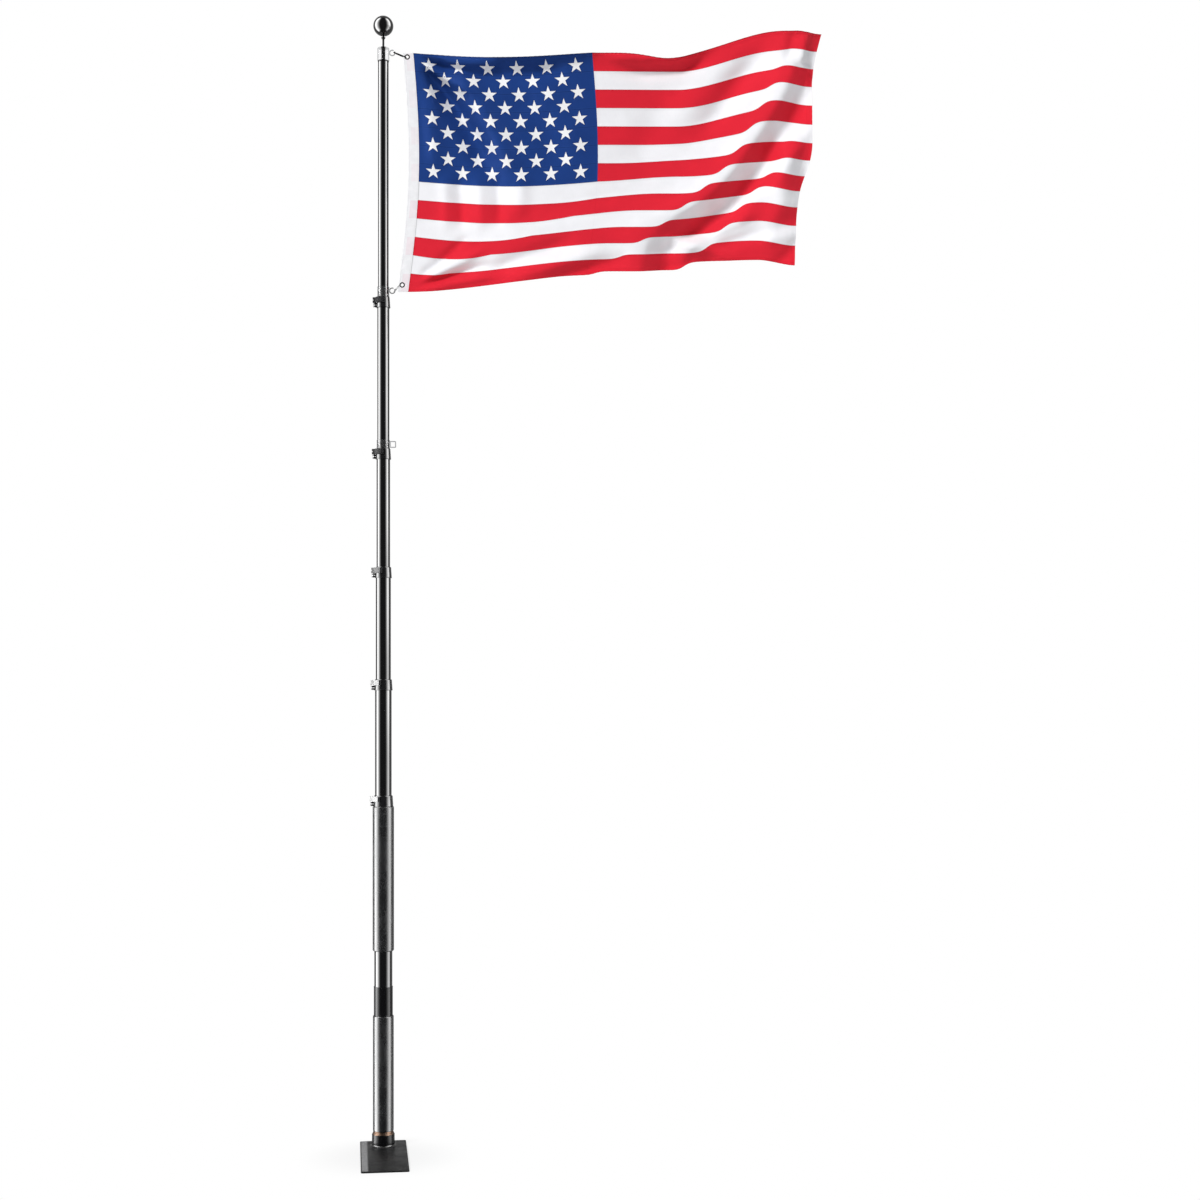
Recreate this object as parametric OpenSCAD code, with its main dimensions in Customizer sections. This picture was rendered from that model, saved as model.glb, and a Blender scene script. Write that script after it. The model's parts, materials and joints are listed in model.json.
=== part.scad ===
// Telescoping flagpole on a drive-on base plate, drawn up to its full height with its flag flying.
// Millimetres, +Z up. The origin is on the pole's axis, on the underside of the base plate.
// -Y is the side that the long part of the plate runs out to, and the flag flies towards +X.

/* [Base plate] */
// Width of the plate
plate_w = 175; // [160:1:220]
// Length of the plate, front to back
plate_l = 459; // [360:1:520]
// Thickness of the plate
plate_t = 5; // [4:0.5:8]
// Distance from the pole's axis to the plate's back edge
plate_back = 65; // [50:1:90]
// Radius of the plate's corners
plate_corner = 7; // [2:1:20]

/* [Socket] */
// Height of the socket above the plate
socket_h = 43; // [36:1:60]
// Outer diameter at the socket's mouth
socket_top_d = 86; // [78:0.5:90]
// Outer diameter at the socket's foot
socket_foot_d = 87; // [80:0.5:96]
// Leg of the fillet weld round the socket's foot
weld_leg = 5; // [3:0.5:7]
// Height of the tapered centring ring in the socket's mouth
ring_h = 12; // [8:1:20]

/* [Grips] */
// Outer diameter of the lower sleeve
lower_sleeve_d = 79; // [76:0.5:84]
// Length of the lower sleeve
lower_sleeve_l = 438; // [300:2:500]
// Outer diameter of the band above the lower sleeve
band_d = 72.6; // [71:0.2:76]
// Length of the band
band_l = 111; // [60:1:140]
// Bare length of the first tube between the band and the upper sleeve
bare_l = 135; // [60:1:200]
// Outer diameter of the upper sleeve
upper_sleeve_d = 81; // [76:0.5:84]
// Length of the upper sleeve
upper_sleeve_l = 550; // [400:5:600]

/* [Tubes] */
// Outer diameter of the first, widest tube
tube_1_d = 68.5; // [66:0.5:70]
// How much narrower each next tube is
tube_step = 5.7; // [5:0.1:5.8]
// Radial gap between one tube and the next
tube_gap = 0.4; // [0.3:0.05:0.8]
// Length of each tube that stays inside the one below
overlap = 120; // [80:5:160]
// Bare length of the second tube
bare_2 = 400; // [200:5:500]
// Bare length of the third tube
bare_3 = 386; // [200:2:500]
// Bare length of the fourth tube
bare_4 = 410; // [200:5:500]
// Bare length of the fifth tube
bare_5 = 535; // [300:5:600]
// Bare length of the sixth tube
bare_6 = 894; // [880:2:960]

/* [Clamps] */
// Height of each clamp collar
collar_h = 42; // [40:1:50]
// Thickness of the collar outside the tube, at its foot
collar_foot = 4; // [3.5:0.5:5]
// Thickness of the collar outside the upper tube, at its top
collar_top = 4; // [3:0.5:5]
// Height of the lug that holds the lever's pin
lug_h = 15.5; // [12:0.5:16]
// Height of the lever
lever_h = 20; // [12:0.5:20]
// Thickness of the lever's curved arm
lever_t = 5; // [4:0.5:7]
// Length of the lever's arm, along its middle
lever_arm_l = 47; // [35:1:60]
// Diameter of the lever's pin
pin_d = 5; // [4:0.5:6]

/* [Finial] */
// Diameter of the ball
ball_d = 76; // [50:1:90]
// Height of the ball's centre above the plate's underside
ball_z = 4267; // [4262:1:4300]
// Diameter of the stem
stem_d = 8; // [6:0.5:12]

/* [Flag rings] */
// Height of the ring at the pole's top
top_ring_h = 48; // [30:1:52]
// Height of the ring on the sixth tube
low_ring_h = 37; // [24:1:40]
// Height of the empty ring on the fifth tube
spare_ring_h = 30; // [24:1:40]
// Wall of a ring
ring_wall = 2; // [1.5:0.25:3]
// Radius of the eye that a link hooks into, to the middle of its bar
eye_r = 10.2; // [9:0.2:12]
// Thickness of the eye's bar
eye_bar = 3.6; // [3:0.2:4.4]

/* [Flag] */
// Width of the heading, the band sewn along the hoist
heading_w = 38; // [34:1:40]
// Height of the hoist, corner to corner
hoist = 910; // [880:5:914]
// Straight distance from the heading to the fly edge, along the top
fly = 1562; // [1400:2:1600]
// Thickness of the cloth, as a solid
cloth_t = 1.6; // [1:0.2:3]

/* [Hidden] */
$fn = 96;

black = [0.05, 0.05, 0.06];
grey = [0.3, 0.3, 0.31];
copper = [0.72, 0.38, 0.18];
clear = [0.9, 0.9, 0.92];
steel = [0.6, 0.6, 0.62];
white = [0.93, 0.93, 0.95];
red = [0.75, 0.06, 0.11];

sections = 6;
bare = [0, 0, bare_2, bare_3, bare_4, bare_5, bare_6];

// Outer radius of tube k, and its wall, which leaves tube_gap to the next tube
function tube_r(k) = tube_1_d / 2 - (k - 1) * tube_step / 2;
tube_wall = tube_step / 2 - tube_gap;

// Heights of the fixed parts
socket_top_z = plate_t + socket_h;
sleeve_foot_z = socket_top_z + ring_h;
band_z = sleeve_foot_z + lower_sleeve_l;
bare_1_z = band_z + band_l;
upper_sleeve_z = bare_1_z + bare_l;
first_collar_z = upper_sleeve_z + upper_sleeve_l;

// Foot of collar k, which stands on tube k's top and grips tube k + 1
function collar_z(k) = k == 1 ? first_collar_z : collar_z(k - 1) + collar_h + bare[k];
top_z = collar_z(sections - 1) + collar_h + bare_6;

// The lip at a collar's top covers the rim of its tube
lip = 4;
function collar_foot_r(k) = tube_r(k) + collar_foot;
function collar_top_r(k) = tube_r(k + 1) + collar_top;
function collar_r(k, z) = collar_foot_r(k) + (collar_top_r(k) - collar_foot_r(k)) * z / collar_h;

// The lever's pin stands at the collar's -X side; the lug takes the lower part and the lever the upper
lug_r = 6.5;
lug_z = 2;
lug_slit = 3;
lever_z = lug_z + lug_h + 1.5;
lever_clear = 1;
lever_bead = 0.5;
hub_r = pin_d / 2 + 2.7;
pin_fit = 0.05;
thumb_l = 9;
thumb_w = 8;
thumb_notch = 4;
function pin_x(k) = collar_r(k, lever_z) + lever_clear + hub_r;

// Flange, neck and cap of the plug in the top tube
flange_t = 5.5;
flange_r = tube_r(sections) + 0.8;
neck_r = 7.5;
cap_r = 8.6;
cap_h = 3;
neck_z = top_z + flange_t;
ring_play = 0.5;
cap_z = neck_z + top_ring_h + 2 * ring_play;
ball_recess_r = 8;

// Rings and links
low_ring_z = collar_z(sections - 1) + collar_h + ring_play;
spare_ring_z = collar_z(4) + collar_h + ring_play;
ring_play_r = 0.5;
eye_x = 34;
eye_gap = [25, 70];
low_eye_z = low_ring_z + 23;
top_eye_z = neck_z + 30;
loop_bar = 3;
eye_loop_r = 5.5;
link_bead_r = 2.1;
grommet_loop_r = 6.5;
grommet_r = 9.5;
grommet_hole_r = 5.5;
grommet_t = 3;
loop_from_grommet = [9.7, 9];
top_grommet = [91, top_z + 20];
low_grommet = [72, low_ring_z + 45];

// The flag's cloth: u runs along the fly and v down the hoist, both from 0 to 1
flag_top_z = top_z + 35;
fly_turn = -7.5;
cloth_u = 40;
cloth_v = 16;
hoist_bow = 31;
hoist_rake = 20;
fly_rake = 90;
wave_depth = 70;
top_line = [[0, 0], [0.12, -12], [0.28, -18], [0.48, -2], [0.61, -15], [0.71, 2], [0.79, 38], [0.87, 72], [0.94, 87],
    [1, 70]];
foot_line = [[0, 0], [0.14, 23], [0.3, 34], [0.48, 58], [0.57, 82], [0.68, 80], [0.77, 106], [0.9, 112], [1, 88]];

// A rectangle with round corners
module round_rect(size, r) {
    translate([r, 0])
        square([size.x - 2 * r, size.y]);
    translate([0, r])
        square([size.x, size.y - 2 * r]);
    for (x = [r, size.x - r], y = [r, size.y - r])
        translate([x, y])
            circle(r);
}

// A sleeve with its edges chamfered, from z = 0 up
module sleeve(outer_r, inner_r, length, foot_chamfer, top_chamfer) {
    rotate_extrude()
        polygon([
            [inner_r, 0],
            [outer_r - foot_chamfer, 0],
            [outer_r, foot_chamfer],
            [outer_r, length - top_chamfer],
            [outer_r - top_chamfer, length],
            [inner_r, length]
        ]);
}

module base_plate() {
    color(black)
        translate([-plate_w / 2, plate_back - plate_l, 0])
            linear_extrude(plate_t)
                round_rect([plate_w, plate_l], plate_corner);
}

module socket_tube() {
    color(black)
        translate([0, 0, plate_t])
            rotate_extrude()
                polygon([
                    [tube_r(1), 0],
                    [socket_foot_d / 2, 0],
                    [socket_top_d / 2, socket_h * 0.6],
                    [socket_top_d / 2, socket_h - 1],
                    [socket_top_d / 2 - 1, socket_h],
                    [tube_r(1), socket_h]
                ]);
}

module socket_weld() {
    foot_r = socket_foot_d / 2;
    slope = (socket_foot_d - socket_top_d) / 2 / (socket_h * 0.6);
    color(steel)
        translate([0, 0, plate_t])
            rotate_extrude()
                polygon([
                    [foot_r, 0],
                    [foot_r + weld_leg, 0],
                    [foot_r + weld_leg * 0.35, weld_leg * 0.4],
                    [foot_r - slope * weld_leg, weld_leg]
                ]);
}

module socket_ring() {
    color(copper)
        translate([0, 0, socket_top_z])
            rotate_extrude()
                polygon([
                    [tube_r(1), 0],
                    [socket_top_d / 2 - 1, 0],
                    [lower_sleeve_d / 2 - 2.5, ring_h],
                    [tube_r(1), ring_h]
                ]);
}

module lower_sleeve() {
    color(grey)
        translate([0, 0, sleeve_foot_z])
            sleeve(lower_sleeve_d / 2, tube_r(1), lower_sleeve_l, 2, 2);
}

module grip_band() {
    color(black)
        translate([0, 0, band_z])
            sleeve(band_d / 2, tube_r(1), band_l, 0.5, 0.8);
}

module upper_sleeve() {
    color(grey)
        translate([0, 0, upper_sleeve_z])
            sleeve(upper_sleeve_d / 2, tube_r(1), upper_sleeve_l, 3.5, 2.5);
}

// Tube k, from inside the tube below up to the lip of its own collar, or to the plug's flange
module tube(k) {
    foot_z = k == 1 ? plate_t : collar_z(k - 1) - overlap;
    rim_z = k == sections ? top_z : collar_z(k) + collar_h - lip;
    color(black)
        translate([0, 0, foot_z])
            difference() {
                cylinder(h = rim_z - foot_z, r = tube_r(k));
                translate([0, 0, -1])
                    cylinder(h = rim_z - foot_z + 2, r = tube_r(k) - tube_wall);
            }
}

// Plan of the lug: a bar from the collar out to a round end about the pin
module lug_plan(k) {
    translate([-pin_x(k), 0])
        circle(lug_r);
    translate([-pin_x(k), -lug_r])
        square([pin_x(k) - collar_foot_r(k) + 3, 2 * lug_r]);
}

// Collar k: a tapered sleeve on tube k's top, with a slit lug at its side for the lever's pin
module collar(k) {
    color(black)
        translate([0, 0, collar_z(k)])
            difference() {
                union() {
                    rotate_extrude()
                        polygon([
                            [tube_r(k), 0],
                            [collar_foot_r(k) - 1, 0],
                            [collar_foot_r(k), 1],
                            [collar_top_r(k), collar_h - 2],
                            [collar_top_r(k) - 2, collar_h],
                            [tube_r(k + 1) + tube_gap, collar_h],
                            [tube_r(k + 1) + tube_gap, collar_h - lip],
                            [tube_r(k), collar_h - lip]
                        ]);
                    difference() {
                        translate([0, 0, lug_z])
                            linear_extrude(lug_h)
                                lug_plan(k);
                        translate([0, 0, -1])
                            cylinder(h = collar_h, r = tube_r(k) + 1);
                    }
                }
                translate([-pin_x(k), 0, -1])
                    cylinder(h = collar_h, r = pin_d / 2);
                translate([-pin_x(k) - 2 * lug_r, -2 * lug_r, lug_z + (lug_h - lug_slit) / 2])
                    cube([2 * lug_r + pin_x(k) - collar_foot_r(k) - 0.5, 4 * lug_r, lug_slit]);
            }
}

module lever_pin(k) {
    color(steel)
        translate([-pin_x(k), 0, collar_z(k) + lug_z - 0.5])
            cylinder(h = lever_z - lug_z + lever_h + 1, r = pin_d / 2);
}

// Plan of the lever: a hub on the pin, an arm that wraps the collar's front, and a thumb tab
module lever_plan(k) {
    inner_r = collar_r(k, lever_z) + lever_clear;
    middle_r = inner_r + lever_t / 2;
    lever_wrap = lever_arm_l / middle_r * 180 / PI;
    reach = 2 * inner_r;
    intersection() {
        difference() {
            circle(inner_r + lever_t);
            circle(inner_r);
        }
        polygon([
            [0, 0],
            [-reach, 0],
            [-reach, -reach],
            [2 * reach * cos(180 + lever_wrap), 2 * reach * sin(180 + lever_wrap)]
        ]);
    }
    rotate(180 + lever_wrap)
        translate([middle_r, 0])
            circle(lever_t / 2 + lever_bead);
    translate([-pin_x(k), 0])
        circle(hub_r);
    translate([-pin_x(k) - thumb_l + thumb_w / 2, 0])
        circle(thumb_w / 2);
    translate([-pin_x(k) - thumb_l + thumb_w / 2, -thumb_w / 2])
        square([thumb_l - thumb_w / 2, thumb_w]);
}

module lever(k) {
    color(black)
        translate([0, 0, collar_z(k) + lever_z])
            difference() {
                linear_extrude(lever_h)
                    lever_plan(k);
                translate([-pin_x(k), 0, -1])
                    cylinder(h = lever_h + 2, r = pin_d / 2 + pin_fit);
                translate([-pin_x(k) - thumb_l - 1, -thumb_w, (lever_h - thumb_notch) / 2])
                    cube([thumb_l / 2, 2 * thumb_w, thumb_notch]);
            }
}

// Plug in the top tube: a spigot, a flange that closes the tube, a neck for the ring, and its cap
module top_plug() {
    color(black)
        rotate_extrude()
            polygon([
                [0, top_z - 30],
                [tube_r(sections) - tube_wall, top_z - 30],
                [tube_r(sections) - tube_wall, top_z],
                [flange_r, top_z],
                [flange_r, neck_z - 1],
                [flange_r - 1, neck_z],
                [neck_r, neck_z],
                [neck_r, cap_z],
                [cap_r, cap_z],
                [cap_r, cap_z + cap_h - 1],
                [cap_r - 1, cap_z + cap_h],
                [0, cap_z + cap_h]
            ]);
}

// Stem with a bead below the ball, let into the ball's foot
module finial_stem() {
    foot_z = cap_z + cap_h;
    bead_z = ball_z - ball_d / 2 - 9;
    color(black)
        rotate_extrude()
            polygon([
                [0, foot_z],
                [stem_d / 2 + 1, foot_z],
                [stem_d / 2, foot_z + 4],
                [stem_d / 2, bead_z - 5],
                [stem_d, bead_z],
                [stem_d, bead_z + 3],
                [stem_d / 2, bead_z + 4],
                [stem_d / 2 - 1, bead_z + 5],
                [stem_d / 2 - 1, ball_z - ball_d / 2 + 12],
                [0, ball_z - ball_d / 2 + 12]
            ]);
}

module finial_ball() {
    color(black)
        difference() {
            translate([0, 0, ball_z])
                sphere(ball_d / 2);
            translate([0, 0, ball_z - ball_d / 2 - 1])
                cylinder(h = 5, r = ball_recess_r);
            translate([0, 0, ball_z - ball_d / 2])
                cylinder(h = 12, r = stem_d / 2 - 1);
        }
}

// A round eye beside a ring, open for a short stretch so that a link can be snapped in
module eye(z) {
    mid = (eye_gap[0] + eye_gap[1]) / 2;
    half = (eye_gap[1] - eye_gap[0]) / 2;
    reach = 2 * eye_r;
    translate([eye_x, 0, z])
        rotate([90, 0, 0])
            difference() {
                rotate_extrude()
                    translate([eye_r, 0])
                        circle(eye_bar / 2);
                rotate(mid)
                    translate([0, 0, -eye_bar])
                        linear_extrude(2 * eye_bar)
                            polygon([[0, 0], [reach, -reach * tan(half)], [reach, reach * tan(half)]]);
            }
}

// A ring's wall with the eye fused to its side
module ring_with_eye(z, h, inner_r, outer_r, eye_z) {
    difference() {
        union() {
            translate([0, 0, z])
                cylinder(h = h, r = outer_r);
            eye(eye_z);
        }
        translate([0, 0, z - 1])
            cylinder(h = h + 2, r = inner_r);
    }
}

// The top ring hangs by a disc with a hole that turns on the neck
module upper_ring() {
    outer_r = flange_r + 1.5;
    z = neck_z + ring_play;
    disc_t = 3;
    color(clear)
        rotate(fly_turn) {
            difference() {
                union() {
                    ring_with_eye(z, top_ring_h, outer_r - ring_wall, outer_r, top_eye_z);
                    translate([0, 0, z + top_ring_h - disc_t])
                        cylinder(h = disc_t, r = outer_r - 0.5);
                }
                translate([0, 0, z])
                    cylinder(h = top_ring_h + 1, r = neck_r + 0.1);
            }
        }
}

module lower_ring() {
    inner_r = tube_r(sections) + ring_play_r;
    color(clear)
        rotate(fly_turn)
            ring_with_eye(low_ring_z, low_ring_h, inner_r, inner_r + ring_wall + 0.5, low_eye_z);
}

// The empty ring has a square loop instead of an eye
module spare_ring() {
    inner_r = tube_r(5) + ring_play_r;
    outer_r = inner_r + ring_wall;
    loop_w = 24;
    loop_h = 26;
    loop_x = outer_r - 1;
    color(clear)
        difference() {
            union() {
                translate([0, 0, spare_ring_z])
                    cylinder(h = spare_ring_h, r = outer_r);
                translate([loop_x, 2, spare_ring_z + 2])
                    rotate([90, 0, 0])
                        linear_extrude(4)
                            difference() {
                                round_rect([loop_w, loop_h], 4);
                                translate([4, 4])
                                    round_rect([loop_w - 8, loop_h - 8], 2);
                            }
            }
            translate([0, 0, spare_ring_z - 1])
                cylinder(h = spare_ring_h + 2, r = inner_r);
        }
}

// A flat ring of round wire about a vertical axis
module wire_loop(x, z, r) {
    translate([x, 0, z])
        rotate_extrude()
            translate([r, 0])
                circle(loop_bar / 2);
}

// A link from an eye to a grommet: a loop round the eye's bar, a straight shank, a loop through the grommet
module link(eye_z, grommet, back) {
    loop_1 = [eye_x + eye_r, eye_z];
    loop_2 = [grommet.x - back, grommet.y];
    start = [loop_1.x + eye_loop_r, loop_1.y];
    end = [loop_2.x - grommet_loop_r, loop_2.y];
    run = end - start;
    wire_loop(loop_1.x, loop_1.y, eye_loop_r);
    wire_loop(loop_2.x, loop_2.y, grommet_loop_r);
    translate([start.x, 0, start.y])
        rotate([0, 90 - atan2(run.y, run.x), 0])
            cylinder(h = norm(run), r = loop_bar / 2 - 0.2);
    for (p = [start, end])
        translate([p.x, 0, p.y])
            sphere(link_bead_r);
}

module upper_link() {
    color(steel)
        rotate(fly_turn)
            link(top_eye_z, top_grommet, loop_from_grommet[0]);
}

module lower_link() {
    color(clear)
        rotate(fly_turn)
            link(low_eye_z, low_grommet, loop_from_grommet[1]);
}

module grommet(at) {
    rotate(fly_turn)
        translate([at.x, grommet_t / 2, at.y])
            rotate([90, 0, 0])
                difference() {
                    cylinder(h = grommet_t, r = grommet_r);
                    translate([0, 0, -1])
                        cylinder(h = grommet_t + 2, r = grommet_hole_r);
                }
}

module upper_grommet() {
    color(steel)
        grommet(top_grommet);
}

module lower_grommet() {
    color(steel)
        grommet(low_grommet);
}

// Smooth curve through points whose first value runs from 0 to 1, one cosine step between each pair
function step_at(points, t, i = 0) =
    i >= len(points) - 2 || t <= points[i + 1][0] ? i : step_at(points, t, i + 1);
function ease(s) = (1 - cos(180 * s)) / 2;
function curve(points, t) =
    let (i = step_at(points, t), a = points[i], b = points[i + 1], s = (t - a[0]) / (b[0] - a[0]))
    a[1] + (b[1] - a[1]) * (0.5 * s + 0.5 * ease(s));

// Where the cloth is: the hoist bows towards the fly, and the waves grow from the hoist to the fly
function hoist_x(v) = top_grommet.x + 23 - hoist_rake * v + hoist_bow * sin(180 * v);
function fly_x(v) = hoist_x(0) + fly - fly_rake * v - 8 * sin(540 * v);
function cloth_x(u, v) = hoist_x(v) + (fly_x(v) - hoist_x(v)) * u;
function cloth_z(u, v) = flag_top_z + curve(top_line, u) * (1 - v) + (curve(foot_line, u) - hoist) * v;
function cloth_y(u, v) = -wave_depth * u * sin(360 * (1.9 * u + 0.45 * v) - 60);
function cloth_point(u, v, side) = [cloth_x(u, v), cloth_y(u, v) + side * cloth_t / 2, cloth_z(u, v)];
function heading_point(u, v, side) = cloth_point(0, v, side) - [heading_w * (1 - u), 0, 0];

// A closed sheet from two grids of points, its two faces joined along the four edges
module sheet(points, nu, nv) {
    count = (nu + 1) * (nv + 1);
    function at(i, j, side) = side * count + j * (nu + 1) + i;
    faces = [
        for (j = [0:nv - 1], i = [0:nu - 1]) [at(i, j, 0), at(i + 1, j, 0), at(i + 1, j + 1, 0)],
        for (j = [0:nv - 1], i = [0:nu - 1]) [at(i, j, 0), at(i + 1, j + 1, 0), at(i, j + 1, 0)],
        for (j = [0:nv - 1], i = [0:nu - 1]) [at(i, j, 1), at(i + 1, j + 1, 1), at(i + 1, j, 1)],
        for (j = [0:nv - 1], i = [0:nu - 1]) [at(i, j, 1), at(i, j + 1, 1), at(i + 1, j + 1, 1)],
        for (i = [0:nu - 1]) [at(i, 0, 0), at(i, 0, 1), at(i + 1, 0, 1), at(i + 1, 0, 0)],
        for (i = [0:nu - 1]) [at(i, nv, 0), at(i + 1, nv, 0), at(i + 1, nv, 1), at(i, nv, 1)],
        for (j = [0:nv - 1]) [at(0, j, 0), at(0, j + 1, 0), at(0, j + 1, 1), at(0, j, 1)],
        for (j = [0:nv - 1]) [at(nu, j, 0), at(nu, j, 1), at(nu, j + 1, 1), at(nu, j + 1, 0)]
    ];
    polyhedron(points, faces);
}

module heading() {
    points = [
        for (side = [-1, 1], j = [0:cloth_v], i = [0:1]) heading_point(i, j / cloth_v, side)
    ];
    color(white)
        rotate(fly_turn)
            difference() {
                sheet(points, 1, cloth_v);
                for (at = [top_grommet, low_grommet])
                    translate([at.x, 10, at.y])
                        rotate([90, 0, 0])
                            cylinder(h = 20, r = grommet_r);
            }
}

module flag() {
    points = [
        for (side = [-1, 1], j = [0:cloth_v], i = [0:cloth_u]) cloth_point(i / cloth_u, j / cloth_v, side)
    ];
    color(red)
        rotate(fly_turn)
            sheet(points, cloth_u, cloth_v);
}

base_plate();
socket_tube();
socket_weld();
socket_ring();
lower_sleeve();
grip_band();
upper_sleeve();
for (k = [1:sections])
    tube(k);
for (k = [1:sections - 1]) {
    collar(k);
    lever(k);
    lever_pin(k);
}
top_plug();
finial_stem();
finial_ball();
upper_ring();
upper_link();
upper_grommet();
lower_ring();
lower_link();
lower_grommet();
spare_ring();
heading();
flag();
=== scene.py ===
"""Finishes, flag and studio for the telescoping flagpole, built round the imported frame."""

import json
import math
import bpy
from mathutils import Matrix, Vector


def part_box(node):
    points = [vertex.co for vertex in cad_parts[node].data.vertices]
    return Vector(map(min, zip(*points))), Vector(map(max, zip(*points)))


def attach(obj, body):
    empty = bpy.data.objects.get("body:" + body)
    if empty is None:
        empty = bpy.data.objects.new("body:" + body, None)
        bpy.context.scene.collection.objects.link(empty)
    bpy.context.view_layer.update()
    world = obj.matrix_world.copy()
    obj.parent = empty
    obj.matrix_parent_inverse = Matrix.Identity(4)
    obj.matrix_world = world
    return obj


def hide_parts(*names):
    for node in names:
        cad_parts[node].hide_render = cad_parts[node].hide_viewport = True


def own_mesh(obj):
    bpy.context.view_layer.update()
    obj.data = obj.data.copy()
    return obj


bl_info = {
    "name": "Telescoping Flagpole",
    "version": (1, 0, 0),
    "blender": (4, 5, 0),
    "location": "3D View > Sidebar > Flagpole",
    "description": "Builds the coats, clamps, rings, flag and studio of a telescoping flagpole",
    "category": "Object",
}

import bmesh
import bpy
import numpy as np
from bpy.props import FloatProperty, FloatVectorProperty, IntProperty, PointerProperty
from mathutils import Matrix, Vector

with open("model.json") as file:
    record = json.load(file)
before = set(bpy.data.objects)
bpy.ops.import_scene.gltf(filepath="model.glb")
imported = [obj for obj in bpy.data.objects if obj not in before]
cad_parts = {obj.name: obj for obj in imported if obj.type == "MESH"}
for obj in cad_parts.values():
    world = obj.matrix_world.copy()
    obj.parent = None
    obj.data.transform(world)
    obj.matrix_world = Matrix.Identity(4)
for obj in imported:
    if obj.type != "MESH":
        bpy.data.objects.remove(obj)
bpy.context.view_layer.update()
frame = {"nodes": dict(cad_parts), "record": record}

MM = 0.001
TUBES = 6
CLAMPS = 5
STRIPES = 13
CANTON_STRIPES = 7
BODY_OF = {node: body for body, nodes in frame["record"]["behaviour"]["bodies"].items() for node in nodes}


def node_radius(node):
    """Largest distance of a round node from the pole's axis, in metres."""
    return max(Vector(v.co.xy).length for v in frame["nodes"][node].data.vertices)


def node_middle(node):
    """Middle of a node's box."""
    low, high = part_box(node)
    return (low + high) / 2


# ---------------------------------------------------------------- settings


class FlagpoleFinishes(bpy.types.PropertyGroup):
    """Coats and plastics of the pole."""

    coat: FloatVectorProperty(
        name="Tube coat", description="Gloss coat of the tubes", subtype="COLOR",
        default=(0.0035, 0.0035, 0.004)
    )
    sleeve: FloatVectorProperty(
        name="Sleeves", description="Satin plastic of the two sleeves", subtype="COLOR",
        default=(0.0095, 0.0098, 0.0105)
    )
    plate: FloatVectorProperty(
        name="Plate", description="Powder coat of the base plate", subtype="COLOR",
        default=(0.0050, 0.0052, 0.0057)
    )
    copper: FloatVectorProperty(
        name="Centring ring", description="Metal of the ring in the socket", subtype="COLOR",
        default=(0.108, 0.070, 0.050),
    )
    wear: FloatProperty(
        name="Edge wear", description="How far the coats are rubbed back along edges", subtype="FACTOR",
        min=0.0, max=1.0, default=0.35,
    )
    sides: IntProperty(
        name="Sides", description="Sides of each round piece", min=32, max=160, default=96
    )


class FlagpoleCloth(bpy.types.PropertyGroup):
    """The flag's cut and colours."""

    fly: FloatProperty(
        name="Fly", description="Flat length of the cloth from the heading to the fly edge",
        subtype="DISTANCE",
        unit="LENGTH", min=1.2, max=1.9, default=1.585,
    )
    hoist: FloatProperty(
        name="Hoist", description="Flat height of the cloth", subtype="DISTANCE", unit="LENGTH",
        min=0.8, max=1.0, default=0.914,
    )
    thickness: FloatProperty(
        name="Thickness", description="Thickness of the nylon", subtype="DISTANCE", unit="LENGTH",
        min=0.0003, max=0.002, default=0.0006,
    )
    red: FloatVectorProperty(
        name="Red", description="Red nylon", subtype="COLOR", default=(0.74, 0.022, 0.041)
    )
    white: FloatVectorProperty(
        name="White", description="White nylon", subtype="COLOR", default=(0.92, 0.92, 0.95)
    )
    blue: FloatVectorProperty(
        name="Blue", description="Blue nylon of the canton", subtype="COLOR", default=(0.014, 0.048, 0.215)
    )
    fold_depth: FloatProperty(
        name="Fold depth", description="Share of the full depth of the folds", subtype="FACTOR",
        min=0.0, max=1.5, default=1.0,
    )
    star: FloatProperty(
        name="Star", description="Width of a star, point to point", subtype="DISTANCE", unit="LENGTH",
        min=0.04, max=0.07, default=0.0605,
    )


class FlagpoleStudio(bpy.types.PropertyGroup):
    """Camera, lamps and floor."""

    lens: FloatProperty(name="Lens", description="Focal length on a 36 mm sensor", min=30.0, max=120.0,
                        default=57.0)
    distance: FloatProperty(
        name="Distance", description="Camera to the pole, along the view", subtype="DISTANCE", unit="LENGTH",
        min=4.0, max=12.0, default=7.239,
    )
    aside: FloatProperty(
        name="Aside", description="How far the camera stands to the fly's side of the pole",
        subtype="DISTANCE",
        unit="LENGTH", min=0.0, max=2.0, default=0.8255,
    )
    height: FloatProperty(
        name="Height", description="Height of the camera", subtype="DISTANCE", unit="LENGTH",
        min=0.5, max=3.0, default=1.7945,
    )
    fill: FloatProperty(
        name="Fill", description="Strength of the even light from all round", min=0.0, max=2.0, default=0.34
    )
    key: FloatProperty(
        name="Key", description="Strength of the soft lamp at the upper left", min=0.0, max=6.0, default=2.58
    )
    left_strip: FloatProperty(
        name="Left strip",
        description="Brightness of the tall softbox that the gloss coats reflect on the left",
        min=0.0, max=40.0, default=15.0,
    )
    right_strip: FloatProperty(
        name="Right strip",
        description="Brightness of the tall softbox that the gloss coats reflect on the right",
        min=0.0, max=40.0, default=8.0,
    )


# ---------------------------------------------------------------- meshes


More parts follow.
